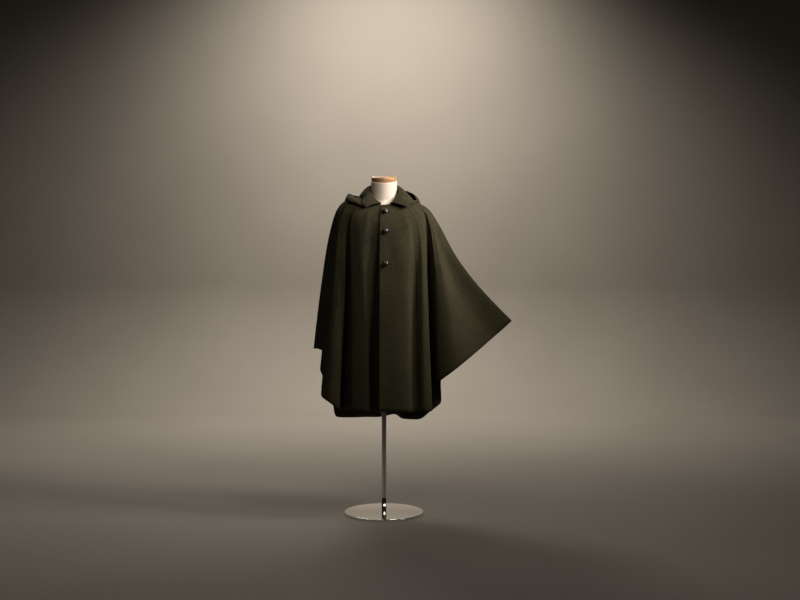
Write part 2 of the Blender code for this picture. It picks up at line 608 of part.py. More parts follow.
def main():
    clear_scene()
    cloth = material("Olive wool", CLOTH_COLOUR, 0.9)
    panel("front_left_panel", 0, LEFT_SEAM, SPAN_COLUMNS, cloth, (False, True), LEFT_SLIT_U)
    panel("back_panel", LEFT_SEAM, RIGHT_SEAM, BACK_SPAN_COLUMNS, cloth, (True, True))
    panel("front_right_panel", RIGHT_SEAM, LAST_RIB, SPAN_COLUMNS, cloth, (True, False), RIGHT_SLIT_U)
    collar_and_hood(cloth)
    welt("arm_welt_left", LEFT_SLIT_U, -1, LEFT_WELT_GAP, cloth)
    welt("arm_welt_right", RIGHT_SLIT_U, -1, RIGHT_WELT_GAP, cloth)
    buttons(material("Brown leather", BUTTON_COLOUR, 0.35))
    dress_form(material("Cream jersey", FORM_COLOUR, 0.8))
    stand(material("Beech", CAP_COLOUR, 0.45), material("Chrome", CHROME_COLOUR, 0.12, 1.0))


if __name__ == "__main__":
    main()
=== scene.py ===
"""Looks of a hooded wool cape coat on a dress form stand.

Metres, +Z up. The garment faces -Y and the wearer's left is +X. The cape is one draped
surface: a rib runs down the crest or the bottom of each fold, smooth curves go round the
body between the ribs, and the surface is cut into its panels.
"""

from collections import namedtuple
import math

import bpy
from bpy.props import FloatProperty, FloatVectorProperty, IntProperty, PointerProperty
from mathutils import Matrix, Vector
import numpy as np


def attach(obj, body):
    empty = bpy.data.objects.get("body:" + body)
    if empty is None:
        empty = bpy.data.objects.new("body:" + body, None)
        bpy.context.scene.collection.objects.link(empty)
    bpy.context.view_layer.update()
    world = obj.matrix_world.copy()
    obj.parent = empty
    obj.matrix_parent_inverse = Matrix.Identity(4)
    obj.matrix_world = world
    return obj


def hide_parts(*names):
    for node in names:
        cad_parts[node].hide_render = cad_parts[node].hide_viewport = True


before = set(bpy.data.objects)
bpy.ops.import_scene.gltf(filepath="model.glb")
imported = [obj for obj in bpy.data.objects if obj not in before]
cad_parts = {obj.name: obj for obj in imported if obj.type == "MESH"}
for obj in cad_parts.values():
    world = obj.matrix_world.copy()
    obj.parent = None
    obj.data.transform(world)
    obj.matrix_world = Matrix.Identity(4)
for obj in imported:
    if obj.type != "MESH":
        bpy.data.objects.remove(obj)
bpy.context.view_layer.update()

bl_info = {
    "name": "Wool Cape Coat",
    "version": (1, 0, 0),
    "blender": (4, 5, 0),
    "location": "View3D > Sidebar > Cape Coat",
    "description": "Dresses the packed model of a hooded wool cape on its dress form stand",
    "category": "Object",
}

# Cloth
WALL = 0.002
SEAM_GAP = 0.0003

# Neckline of the cape: an ellipse that dips at the front
NECK_HALF_WIDTH = 0.080
NECK_FRONT = 0.090
NECK_BACK = 0.085
NECK_SIDE_Z = 1.513
NECK_FRONT_DIP = 0.0405
NECK_BACK_RISE = 0.012

# Outer corner of the shoulders, as wide as the form under it
SHOULDER_HALF_WIDTH = 0.229
SHOULDER_FRONT = 0.150
SHOULDER_BACK = 0.128
SHOULDER_SIDE_Z = 1.476
SHOULDER_FRONT_Z = 1.400
SHOULDER_BACK_Z = 1.425
SHOULDER_RIGHT_RISE = 0.033
SHOULDER_SQUARE_X = 0.85
SHOULDER_SQUARE_Y = 0.70
YOKE_SHARE = 0.50
YOKE_LIFT = 0.001

# A row for each fold line, counted from the front edge round by the wearer's left.
# neck and shoulder are degrees from the front, x y z is the hem, and the pulls move the
# line toward the body's axis at chest and waist height. tuck sets the upper part back.
Rib = namedtuple("Rib", "name neck shoulder x y z chest_pull waist_pull tuck sharp")
RIBS = (
    Rib("front edge", -9.6, -3.0, -0.020, -0.205, 0.511, 0.000, 0.000, 0.000, 0.0),
    Rib("front flat", 25.0, 27.0, 0.1135, -0.205, 0.511, 0.000, 0.000, 0.000, 0.0),
    Rib("slit fold", 42.0, 39.0, 0.151, -0.155, 0.506, 0.014, 0.018, 0.000, 0.0),
    Rib("front lobe", 54.0, 48.0, 0.188, -0.190, 0.511, 0.000, 0.000, 0.000, 0.0),
    Rib("front lobe edge", 62.0, 56.0, 0.226, -0.174, 0.512, 0.003, 0.004, 0.000, 0.6),
    Rib("deep fold", 70.0, 66.0, 0.218, 0.030, 0.575, 0.010, 0.010, 0.000, 0.3),
    Rib("wing corner", 76.0, 70.5, 0.259, -0.130, 0.644, -0.012, -0.006, 0.000, 0.6),
    Rib("wing lobe", 81.0, 77.0, 0.3465, -0.152, 0.712, -0.002, -0.004, 0.000, 0.0),
    Rib("wing crease", 87.0, 84.0, 0.515, -0.010, 0.839, 0.060, 0.066, 0.000, 0.0),
    Rib("left side seam", 92.0, 90.0, 0.6125, -0.005, 0.928, 0.052, 0.061, 0.000, 0.0),
    Rib("back wing fold", 99.0, 98.0, 0.460, 0.070, 0.830, 0.050, 0.045, 0.000, 0.0),
    Rib("back wing lobe", 107.0, 107.0, 0.360, 0.160, 0.735, 0.020, 0.020, 0.000, 0.0),
    Rib("back fold 1", 115.0, 115.0, 0.282, 0.080, 0.655, 0.015, 0.005, 0.000, 0.0),
    Rib("back lobe 1", 124.0, 123.0, 0.279, 0.150, 0.519, 0.000, 0.000, 0.000, 0.4),
    Rib("back fold 2", 134.0, 132.0, 0.222, 0.095, 0.478, 0.000, 0.000, 0.000, 0.0),
    Rib("back lobe 2", 143.0, 143.0, 0.178, 0.120, 0.441, 0.000, -0.020, 0.000, 0.2),
    Rib("back lobe 2 edge", 153.0, 154.0, 0.095, 0.130, 0.440, 0.000, -0.030, 0.000, 0.2),
    Rib("back lobe 3", 168.0, 168.0, 0.046, 0.270, 0.447, 0.000, 0.000, 0.000, 0.0),
    Rib("back fold 3", 182.0, 182.0, -0.020, 0.205, 0.441, 0.000, 0.000, 0.000, 0.0),
    Rib("back lobe 4", 199.0, 202.0, -0.100, 0.240, 0.436, 0.000, 0.000, 0.000, 0.0),
    Rib("back fold 4", 219.0, 224.0, -0.173, 0.180, 0.441, 0.000, 0.000, 0.000, 0.0),
    Rib("back lobe 5", 237.0, 242.0, -0.243, 0.200, 0.444, 0.000, 0.000, 0.000, 0.4),
    Rib("back fold 5", 249.0, 253.0, -0.262, 0.100, 0.570, 0.000, 0.000, 0.000, 0.0),
    Rib("back lobe 6", 258.0, 260.0, -0.318, 0.150, 0.683, 0.000, 0.000, 0.000, 0.4),
    Rib("back fold 6", 263.0, 265.0, -0.300, 0.080, 0.790, 0.000, 0.000, 0.000, 0.0),
    Rib("right side seam", 268.0, 271.0, -0.340, 0.020, 0.792, -0.013, -0.010, 0.000, 0.4),
    Rib("side fold", 276.0, 279.0, -0.293, -0.030, 0.780, 0.020, 0.012, 0.000, 0.0),
    Rib("side lobe", 285.0, 288.0, -0.291, -0.120, 0.575, 0.000, 0.000, 0.000, 0.5),
    Rib("side lobe face", 293.0, 296.0, -0.250, -0.148, 0.547, -0.004, 0.000, 0.000, 0.0),
    Rib("side lobe edge", 300.0, 304.0, -0.206, -0.138, 0.516, 0.026, 0.000, 0.000, 0.5),
    Rib("sleeve fold", 308.0, 311.0, -0.206, -0.030, 0.502, 0.040, 0.015, 0.000, 0.0),
    Rib("chest lobe edge", 316.0, 318.0, -0.147, -0.148, 0.506, 0.012, 0.000, 0.000, 0.5),
    Rib("chest lobe", 336.0, 339.0, -0.068, -0.163, 0.507, -0.004, 0.000, 0.000, 0.3),
    Rib("edge fold", 349.0, 353.0, -0.050, -0.070, 0.500, -0.010, -0.030, 0.004, 0.0),
    Rib("under edge", 383.6, 366.0, 0.034, -0.125, 0.504, -0.014, -0.018, 0.005, 0.0),
)
LEFT_SEAM = 9
RIGHT_SEAM = 25
LAST_RIB = len(RIBS) - 1
RING_COUNT = 6
SMALL_STEP = 1e-3

# Collar: a row for each place along it, from the wearer's left point round the back. neck is
# where the stand meets the cape, fold is the top line, and the outer edge lies over the
# cape's place edge_u, edge_v with the given lift.
CollarRow = namedtuple("CollarRow", "name neck fold_x fold_y fold_z edge_u edge_v lift")
COLLAR = (
    CollarRow("left point", 0.95, 0.0320, -0.0875, 1.4835, 1.90, 0.165, 0.0210),
    CollarRow("left front", 1.90, 0.0540, -0.0690, 1.5080, 3.20, 0.145, 0.0225),
    CollarRow("left side", 3.60, 0.0665, -0.0300, 1.5410, 4.60, 0.120, 0.0165),
    CollarRow("left shoulder", 8.60, 0.0660, 0.0040, 1.5730, 9.50, 0.065, 0.0165),
    CollarRow("left back", 13.20, 0.0500, 0.0500, 1.5850, 13.20, 0.075, 0.0170),
    CollarRow("back", 17.60, 0.0000, 0.0710, 1.5880, 17.60, 0.120, 0.0180),
    CollarRow("right back", 20.40, -0.0500, 0.0500, 1.5850, 20.60, 0.075, 0.0170),
    CollarRow("right shoulder", 25.00, -0.0660, 0.0040, 1.5730, 24.50, 0.060, 0.0165),
    CollarRow("right side", 28.40, -0.0580, -0.0420, 1.5370, 28.20, 0.045, 0.0160),
    CollarRow("right front", 30.60, -0.0370, -0.0740, 1.5030, 30.30, 0.090, 0.0190),
    CollarRow("right point", 32.90, -0.0125, -0.0895, 1.4820, 31.65, 0.140, 0.0180),
)
COLLAR_FOLD = 0.008
COLLAR_BULGE = 0.006
COLLAR_MIDDLE = 0.45
COLLAR_LOWER = 0.75
STAND_INSET = 0.0005
STAND_DROP = 0.0021
SEAT_INSET = 0.0006

# Hood, lying open on the back: a row for each place along its neck seam, from the wearer's
# left front round the back. The cloth goes down over the cape to the turn, and comes back
# up over it, puffed out, to the rim of the face opening. u and v are places on the cape.
HoodRow = namedtuple("HoodRow", "name neck turn_u turn_v puff rim_u rim_v rim_lift")
HOOD = (
    HoodRow("left end", 1.2, 1.6, 0.115, 0.0032, 1.7, 0.100, 0.0097),
    HoodRow("left front", 2.8, 4.4, 0.142, 0.0032, 4.7, 0.128, 0.0100),
    HoodRow("left side", 4.8, 7.2, 0.148, 0.0040, 7.2, 0.136, 0.0105),
    HoodRow("left shoulder", 7.5, 9.0, 0.134, 0.0085, 9.0, 0.115, 0.0190),
    HoodRow("left outer back", 10.5, 11.3, 0.172, 0.0180, 10.8, 0.100, 0.0378),
    HoodRow("left mid back", 13.0, 13.2, 0.280, 0.0300, 12.9, 0.077, 0.0548),
    HoodRow("left inner back", 15.0, 14.8, 0.380, 0.0450, 14.5, 0.050, 0.0642),
    HoodRow("left centre", 16.6, 16.4, 0.440, 0.0600, 16.4, 0.070, 0.0600),
    HoodRow("centre", 17.6, 17.7, 0.460, 0.0620, 17.7, 0.110, 0.0560),
    HoodRow("right centre", 18.6, 18.9, 0.440, 0.0600, 18.8, 0.095, 0.0500),
    HoodRow("right inner back", 19.8, 20.2, 0.380, 0.0450, 19.9, 0.095, 0.0415),
    HoodRow("right mid back", 21.0, 21.3, 0.270, 0.0300, 21.0, 0.113, 0.0290),
    HoodRow("right outer back", 23.0, 22.9, 0.210, 0.0200, 22.7, 0.135, 0.0250),
    HoodRow("right shoulder", 25.0, 25.0, 0.190, 0.0140, 24.8, 0.150, 0.0266),
    HoodRow("right side", 27.3, 27.0, 0.215, 0.0130, 27.0, 0.113, 0.0130),
    HoodRow("right front", 29.5, 29.4, 0.172, 0.0100, 29.8, 0.088, 0.0110),
    HoodRow("right end", 31.6, 31.6, 0.138, 0.0060, 31.4, 0.090, 0.0105),
)
HOOD_CENTRE = 8
HOOD_LAY = 0.0065
HOOD_NECK_V = 0.012
HOOD_NECK_LIFT = 0.0034
HOOD_SPREAD = 0.4
HOOD_DROP = 0.45
HOOD_NEAR_TURN = 0.9
HOOD_TURN_PUFF = 0.4

# Arm slits: the place of each between the ribs, how wide it stands open, how far the cloth
# round it gives way, and the welt beside it
SLIT_WIDTH = 0.0035
SLIT_EASE = 0.025
LEFT_SLIT_U = 2.25
RIGHT_SLIT_U = 28.8
WELT_WIDTH = 0.018
WELT_WALL = 0.0012
WELT_GAP = 0.0003
WELT_INSET = 0.003
WELT_COLUMNS = 9
WELT_ROWS = 60

# Buttons: where each sits on the left front, the half outlines of its head and its shank, and
# the plait on its face
BUTTON_PLACES = ((0.25, 0.130), (0.20, 0.365), (0.20, 0.560))
BUTTON_LIFT = 0.0007
BUTTON_HEAD = ((0.0110, 0.0043), (0.0135, 0.0075), (0.0122, 0.0112), (0.0075, 0.0142),
               (0.0000, 0.0155))
BUTTON_SHANK = ((0.0002, 0.0), (0.0040, 0.0), (0.0038, 0.0018), (0.0042, 0.0034), (0.0085, 0.0038))
BUTTON_SIDES = 72
BUTTON_STEPS = 48
BUTTON_HUB = 0.0001
BUTTON_MIDDLE = 0.0085
BUTTON_STRAND = 0.0062
STRAND_DIVE = 0.45
STRAND_LEVEL = 0.8
PLAIT_START = 0.0050
PLAIT_FADE = 0.0025

# Dress form: a row for each level section. square is 2 for an ellipse, less for a ridge.
FormRow = namedtuple("FormRow", "z half_width front back square")
FORM = (
    FormRow(0.900, 0.130, 0.0850, 0.0880, 2.20),
    FormRow(0.912, 0.142, 0.0940, 0.0970, 2.20),
    FormRow(0.970, 0.150, 0.0980, 0.1020, 2.20),
    FormRow(1.080, 0.142, 0.0920, 0.0900, 2.20),
    FormRow(1.200, 0.148, 0.1020, 0.0960, 2.20),
    FormRow(1.320, 0.168, 0.1120, 0.1060, 2.20),
    FormRow(1.400, 0.186, 0.1080, 0.1060, 2.10),
    FormRow(1.440, 0.192, 0.0960, 0.0980, 1.90),
    FormRow(1.460, 0.186, 0.0860, 0.0900, 1.70),
    FormRow(1.475, 0.170, 0.0780, 0.0820, 1.50),
    FormRow(1.486, 0.142, 0.0700, 0.0740, 1.40),
    FormRow(1.494, 0.114, 0.0655, 0.0685, 1.45),
    FormRow(1.500, 0.090, 0.0635, 0.0655, 1.60),
    FormRow(1.507, 0.0725, 0.0627, 0.0637, 1.85),
    FormRow(1.516, 0.0655, 0.0625, 0.0627, 2.00),
    FormRow(1.530, 0.0627, 0.0625, 0.0625, 2.00),
    FormRow(1.550, 0.0625, 0.0625, 0.0625, 2.00),
    FormRow(1.594, 0.0625, 0.0625, 0.0625, 2.00),
)
FORM_SIDES = 144
FORM_STEPS = 7
NECK_TILT = math.radians(12)
TILT_START_Z = 1.530

# Cap, pole and base. Each outline stops a little short of the axis: a disc's at a share of its
# radius, and the pole's at a distance.
CAP_RADIUS = 0.0602
CAP_THICK = 0.0226
CAP_ROUND = 0.006
POLE_RADIUS = 0.0115
BASE_RADIUS = 0.190
BASE_THICK = 0.012
BASE_ROUND = 0.003
BASE_UNDER_ROUND = 0.0015
CONTACT_GAP = 0.0003
DISC_HUB = 0.02
DISC_ROUND_STEPS = 8
POLE_HUB = 0.0004
POLE_STEPS = 12

# Studio: the camera, the sheet of floor and wall with its quarter turn, and the air's faint glow
CAMERA_PLACE = (0.0768, -4.8, 1.025)
CAMERA_LENS = 45.0
CAMERA_SENSOR = 36.0
CAMERA_REACH = 60.0
FLOOR_FRONT_Y = -9.0
FLOOR_SIDE_X = 9.0
SWEEP_Y = 4.0
SWEEP_RADIUS = 1.2
SWEEP_STEPS = 24
WALL_TOP_Z = 7.0
AIR_COLOUR = (0.27, 0.235, 0.20, 1.0)
AIR_STRENGTH = 0.012

# A row for each softbox: its colour, the setting that holds its power, its place, the point it
# faces, its width, and the angle in degrees that the grid over it leaves open
Softbox = namedtuple("Softbox", "name colour power x y z aim_x aim_y aim_z width grid")
WARM_WHITE = (1.0, 0.97, 0.93)
WARMER_WHITE = (1.0, 0.96, 0.91)
WALL_Y = SWEEP_Y + SWEEP_RADIUS
SOFTBOXES = (
    Softbox("Key light", WARM_WHITE, "key_power", 0.90, -1.10, 2.39, 0.06, -0.1, 1.3, 0.6, 180),
    Softbox("Side light", WARM_WHITE, "side_power", 1.50, -0.48, 2.25, 0.08, -0.1, 1.4, 0.5, 60),
    Softbox("Fill light", WARM_WHITE, "fill_power", -0.66, -1.94, 4.05, 0.05, 0.0, 1.1, 1.0, 180),
    Softbox("Wall light", WARMER_WHITE, "wall_power", 0.0, 3.3, 4.5, -0.13, WALL_Y, 0.6, 2.4, 130),
    Softbox("Back light", WARM_WHITE, "back_power", -1.2, 3.4, 4.2, 0.0, 0.0, 1.1, 1.6, 180),
)

# Panels: the ribs each lies between, the size of its cells, which of its ends are seams,
# its finished sides, and the welt, the place and the two ends of its arm slit. Cells are
# measured across the cape at CELL_V.
Panel = namedtuple("Panel", "name start end cell seams sides welt slit_u slit_first slit_last")
PANELS = (
    Panel("front_left_panel", 0, LEFT_SEAM, 0.0065, (False, True), ("first", "bottom"),
          "arm_welt_left", LEFT_SLIT_U, 0.556, 0.778),
    Panel("back_panel", LEFT_SEAM, RIGHT_SEAM, 0.0085, (True, True), ("bottom",),
          None, None, None, None),
    Panel("front_right_panel", RIGHT_SEAM, LAST_RIB, 0.0065, (True, False), ("last", "bottom"),
          "arm_welt_right", RIGHT_SLIT_U, 0.590, 0.778),
)
PANEL_ROWS = 150
CELL_V = 0.8
LEAST_CELLS = 4
SLIT_COLUMN_CLEAR = 0.4
COLLAR_CELLS = 16
FALL_ROWS = 32
STAND_ROWS = 16
HOOD_CELLS = 12
HOOD_ROWS = 90
CORNERS = {"first": ("top", "bottom"), "last": ("top", "bottom"), "top": ("first", "last"),
           "bottom": ("first", "last")}

# Fine cloth: its rounded edges, the pressed groove along its stitches, the scale of its nap
# across and down the cloth, and its slow creases, as rows of share, waves round the body, waves
# down it and phase
EDGE_BULGE = 0.35
SEAM_GROOVE = 0.0022
NAP_SCALE = (900.0, 260.0, 1.0)
MERGE = 1e-7
FAR_FROM_EDGE = 1.0
CREASE_HEIGHT = 0.0006
CREASES = ((1.0, 5.1, 7.0, 0.0), (1.0, 8.3, -11.0, 1.7), (0.7, 2.2, 23.0, 0.6))

# Stitches: each is a spindle of rings, with the place of each ring along it and its share of
# the thread's radius
THREAD_RADIUS = 0.0003
THREAD_LIFT = 0.0001
STITCH_SIDES = 5
STITCH_RINGS = (-0.5, -0.25, 0.25, 0.5)
STITCH_SHARES = (0.45, 1.0, 1.0, 0.45)

# Buttonholes on the left front: the place of each, and how far it is moved along the cloth. A
# button's shank stands near the end of its hole, and the last two holes have no button.
HOLE_SHIFT = 0.0115
HOLES = tuple((u, v, HOLE_SHIFT) for u, v in BUTTON_PLACES) + ((0.20, 0.690, 0.0), (0.20, 0.800, 0.0))
HOLE_LENGTH = 0.024
HOLE_SAG = 0.0012
HOLE_TILT = 0.0008
HOLE_SLOT = 0.0015
# The dark strip in each slot, lifted off the cloth by HOLE_SLOT_LIFT, is painted shade
HOLE_SLOT_LIFT = 0.00012
HOLE_SLOT_STEPS = 25
HOLE_CORD = 0.0008
HOLE_CORD_LIFT = 0.0002
HOLE_CORD_OUT = 0.4
HOLE_CORD_STEPS = 288
HOLE_CORD_SIDES = 8
HOLE_END_SHAPE = 0.7
PURLS = 48
PURL_DEPTH = 0.25


def curve_between(points, at, sharp=0.0):
    """Smooth curve through the first axis of points, read at the places in at.

    Each span is a cubic with the same end slopes as its neighbours, which allow for uneven
    spacing. sharp shortens the slopes, from 0 for a round bend to 1 for a corner.
    """
    steps = np.linalg.norm(np.diff(points, axis=0), axis=-1, keepdims=True)
    spacing = np.sqrt(np.maximum(steps, 1e-6))
    rises = np.diff(points, axis=0) / spacing
    before, after = spacing[:-1], spacing[1:]
    slopes = np.empty_like(points)
    slopes[1:-1] = (rises[:-1] * after + rises[1:] * before) / (before + after)
    slopes[0] = rises[0]
    slopes[-1] = rises[-1]
    slopes *= 1.0 - np.reshape(sharp, (-1,) + (1,) * (points.ndim - 1))
    span = np.clip(np.floor(at).astype(int), 0, len(points) - 2)
    t = (np.asarray(at) - span).reshape((-1,) + (1,) * (points.ndim - 1))
    width = spacing[span]
    start, end = points[span], points[span + 1]
    return ((2 * t**3 - 3 * t**2 + 1) * start + (t**3 - 2 * t**2 + t) * width * slopes[span]
            + (3 * t**2 - 2 * t**3) * end + (t**3 - t**2) * width * slopes[span + 1])


def spline_weights(at, count):
    """Weights of a clamped cubic B-spline with count control points at places 0 to 1."""
    at = np.clip(np.asarray(at, float), 0.0, 1.0 - 1e-9)
    inner = np.linspace(0.0, 1.0, count - 2)
    knots = np.concatenate([[0.0] * 3, inner, [1.0] * 3])
    weights = ((knots[:-1] <= at[:, None]) & (at[:, None] < knots[1:])).astype(float)
    for degree in (1, 2, 3):
        left = knots[degree:-1] - knots[:-1 - degree]
        right = knots[1 + degree:] - knots[1:-degree]
        rise = np.divide(at[:, None] - knots[:-1 - degree], left, where=left > 0,
                         out=np.zeros((len(at), len(left))))
        fall = np.divide(knots[1 + degree:] - at[:, None], right, where=right > 0,
                         out=np.zeros((len(at), len(right))))
        weights = rise * weights[:, :-1] + fall * weights[:, 1:]
    return weights


def neckline(degrees):
    """Point of the cape's neckline, an ellipse that dips at the front, at an angle from the front."""
    turn = math.radians(degrees)
    ahead = math.cos(turn)
    depth = NECK_FRONT if ahead > 0 else NECK_BACK
    z = NECK_SIDE_Z + (-NECK_FRONT_DIP * ahead**1.5 if ahead > 0 else NECK_BACK_RISE * ahead**2)
    return np.array([NECK_HALF_WIDTH * math.sin(turn), -depth * ahead, z])


def shoulder_line(degrees):
    """Point of the rounded square round the shoulders at an angle from the front."""
    turn = math.radians(degrees)
    side, ahead = math.sin(turn), math.cos(turn)
    depth = SHOULDER_FRONT if ahead > 0 else SHOULDER_BACK
    low_z = SHOULDER_FRONT_Z if ahead > 0 else SHOULDER_BACK_Z
    side_z = SHOULDER_SIDE_Z + (SHOULDER_RIGHT_RISE if side < 0 else 0.0)
    return np.array([
        SHOULDER_HALF_WIDTH * math.copysign(abs(side)**SHOULDER_SQUARE_X, side),
        -depth * math.copysign(abs(ahead)**SHOULDER_SQUARE_Y, ahead),
        low_z + (side_z - low_z) * abs(side)**2,
    ])


def rib_rings(rib):
    """The six control points of one rib: neck, yoke, shoulder, chest, waist and hem."""
    neck = neckline(rib.neck)
    shoulder = shoulder_line(rib.shoulder)
    hem = np.array([rib.x, rib.y, rib.z])
    for point in (neck, shoulder):
        inward = -point[:2] / np.linalg.norm(point[:2])
        point[:2] += rib.tuck * inward
    yoke = neck + (shoulder - neck) * YOKE_SHARE + np.array([0.0, 0.0, YOKE_LIFT])
    chest = shoulder + (hem - shoulder) / 3
    waist = shoulder + (hem - shoulder) * 2 / 3
    for point, pull in ((chest, rib.chest_pull), (waist, rib.waist_pull)):
        point[:2] -= pull * point[:2] / np.linalg.norm(point[:2])
    return np.array([neck, yoke, shoulder, chest, waist, hem])


CAPE_RINGS = np.array([rib_rings(rib) for rib in RIBS])
CAPE_SHARP = np.array([rib.sharp for rib in RIBS])


def cape_place(u, v):
    """Outer face of the cape at each pair u, v.

    The ribs' control points are joined round the body by smooth curves read at u, and the
    six that this gives are the control points of a cubic B-spline read at v.
    """
    u, v = np.broadcast_arrays(np.asarray(u, float), np.asarray(v, float))
    rings = curve_between(CAPE_RINGS, np.clip(u, 0, LAST_RIB).ravel(), CAPE_SHARP)
    weights = spline_weights(v.ravel(), RING_COUNT)
    return np.einsum("nr,nrk->nk", weights, rings).reshape(u.shape + (3,))


def cape_frame(u, v):
    """Places on the cape and unit normals: the cross product of small steps down and round it."""
    u, v = np.broadcast_arrays(np.asarray(u, float), np.asarray(v, float))
    round_body = cape_place(u + SMALL_STEP, v) - cape_place(u - SMALL_STEP, v)
    down = (cape_place(u, np.minimum(v + SMALL_STEP, 1))
            - cape_place(u, np.maximum(v - SMALL_STEP, 0)))
    normals = np.cross(down, round_body)
    normals /= np.linalg.norm(normals, axis=-1, keepdims=True)
    return cape_place(u, v), normals


def rib_speed(u, v):
    """How many rib steps round the body make one metre of cloth, at a place u and rows v."""
    return SMALL_STEP / np.linalg.norm(cape_place(u + SMALL_STEP, v) - cape_place(u, v), axis=-1)


def lifted(u, v, lift):
    """Places on the cape moved out from its face by a lift, one for each pair u, v."""
    points, normals = cape_frame(u, v)
    return points + normals * np.asarray(lift, float)[..., None]


def table_at(table, at):
    """The numbers of a table's rows, read smoothly between them at the places in at."""
    numbers = np.array([row[1:] for row in table])
    smooth = np.stack([curve_between(column[:, None], at)[:, 0] for column in numbers.T], axis=1)
    return type(table[0])(None, *smooth.T)


def with_normals(build, along, down):
    """Points and unit normals of a sheet that build(along, down) returns as a grid."""
    points = build(along, down)
    sideways = build(along + SMALL_STEP, down) - build(along - SMALL_STEP, down)
    fall = (build(along, np.minimum(down + SMALL_STEP, 1))
            - build(along, np.maximum(down - SMALL_STEP, 0)))
    normals = np.cross(fall, sideways)
    return points, normals / np.linalg.norm(normals, axis=-1, keepdims=True)


def collar_frame(along):
    """The collar's numbers at places along it, its fold line, and the way straight out from it."""
    row = table_at(COLLAR, along)
    fold = np.stack([row.fold_x, row.fold_y, row.fold_z], axis=1)
    out = fold * (1, 1, 0)
    out /= np.linalg.norm(out, axis=1, keepdims=True)
    return row, fold, out


def collar_fall(along, down):
    """The collar's fall: a B-spline from the fold line out, over a bulge and down to its edge."""
    row, fold, out = collar_frame(along)
    edge = lifted(row.edge_u, row.edge_v, row.lift)
    bulge = (out + (0, 0, 1)) * COLLAR_BULGE
    rings = np.stack([fold, fold + out * COLLAR_FOLD, fold + (edge - fold) * COLLAR_MIDDLE + bulge,
                      fold + (edge - fold) * COLLAR_LOWER + bulge / 2, edge], axis=1)
    return np.einsum("vr,urk->uvk", spline_weights(down, rings.shape[1]), rings)


def collar_stand(along, down):
    """The collar's stand: straight down from under the fold line to the cape's neckline."""
    row, fold, out = collar_frame(along)
    top = fold - out * STAND_INSET - (0, 0, STAND_DROP)
    seat = lifted(row.neck, 0.0, 0.0) - out * SEAT_INSET
    return top[:, None] + (seat - top)[:, None] * np.reshape(down, (1, -1, 1))


def hood_cloth(along, down):
    """The hood: a B-spline of places on the cape with a lift, down to the turn and up to the rim."""
    row = table_at(HOOD, along)
    low, high = row.turn_v, row.rim_v
    lay = np.full_like(low, HOOD_LAY)
    spread_u = row.neck * (1 - HOOD_SPREAD) + row.turn_u * HOOD_SPREAD
    path = np.stack([np.stack(place, axis=1) for place in (
        (row.neck, np.full_like(low, HOOD_NECK_V), np.full_like(low, HOOD_NECK_LIFT)),
        (spread_u, low * HOOD_DROP, lay),
        (row.turn_u, low * HOOD_NEAR_TURN, lay),
        (row.turn_u, low, lay + row.puff * HOOD_TURN_PUFF),
        (row.turn_u, low * HOOD_NEAR_TURN, lay + row.puff),
        ((row.turn_u + row.rim_u) / 2, (low + high) / 2, np.maximum(lay + row.puff, row.rim_lift)),
        (row.rim_u, high, row.rim_lift),
    )], axis=1)
    places = np.einsum("vr,urk->uvk", spline_weights(down, path.shape[1]), path)
    return lifted(places[..., 0], places[..., 1], places[..., 2])


def part_at_seam(points, first, last):
    """Move the first and last columns of a piece half a seam gap into it."""
    for wanted, edge, inside in ((first, 0, 1), (last, -1, -2)):
        if wanted:
            across = points[inside] - points[edge]
            across /= np.linalg.norm(across, axis=1, keepdims=True)
            points[edge] += across * SEAM_GAP / 2
    return points


def arc_lengths(points, axis):
    """Distance along each line of a grid from its first point."""
    steps = np.linalg.norm(np.diff(points, axis=axis), axis=-1)
    return np.insert(np.cumsum(steps, axis=axis), 0, 0.0, axis=axis)


def edge_distances(points, sides):
    """Distance of each grid point from the nearest of the named finished edges."""
    down = arc_lengths(points, 1)
    across = arc_lengths(points, 0)
    ways = {"top": down, "bottom": down[:, -1:] - down, "first": across, "last": across[-1:] - across}
    if not sides:
        return np.full(down.shape, FAR_FROM_EDGE)
    return np.minimum.reduce([ways[side] for side in sides])


def ring_quads(number):
    """Quads between neighbouring rings of point numbers, where each ring closes on itself."""
    after = np.roll(number, -1, axis=-1)
    return np.stack([number[..., :-1, :], after[..., :-1, :], after[..., 1:, :],
                     number[..., 1:, :]], axis=-1).reshape(-1, 4)


def new_form(name, points, faces, look):
    """Put a smooth mesh in the scene."""
    mesh = bpy.data.meshes.new(name)
    mesh.from_pydata(points.tolist(), [], faces)
    mesh.shade_smooth()
    mesh.materials.append(look)
    form = bpy.data.objects.new(name, mesh)
    bpy.context.scene.collection.objects.link(form)
    return form


def new_piece(name, points, faces, look, replaces=()):
    """Put a mesh in the scene as a piece that rides on the model and stands for its nodes."""
    piece = new_form(name, points, faces, look)
    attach(piece, "root")
    if replaces:
        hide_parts(*replaces)
    return piece


def set_cloth_layers(piece, edge, across, down):
    """Store each point's distance from its finished edges, and a flat map of the cloth in metres."""
    mesh = piece.data
    layer = mesh.attributes.new("edge", "FLOAT", "POINT")
    layer.data.foreach_set("value", edge.astype(np.float32))
    corners = np.empty(len(mesh.loops), dtype=np.int32)
    mesh.loops.foreach_get("vertex_index", corners)
    flat = np.stack([across, down], axis=1)[corners]
    mesh.uv_layers.new(name="cloth").data.foreach_set("uv", flat.astype(np.float32).ravel())


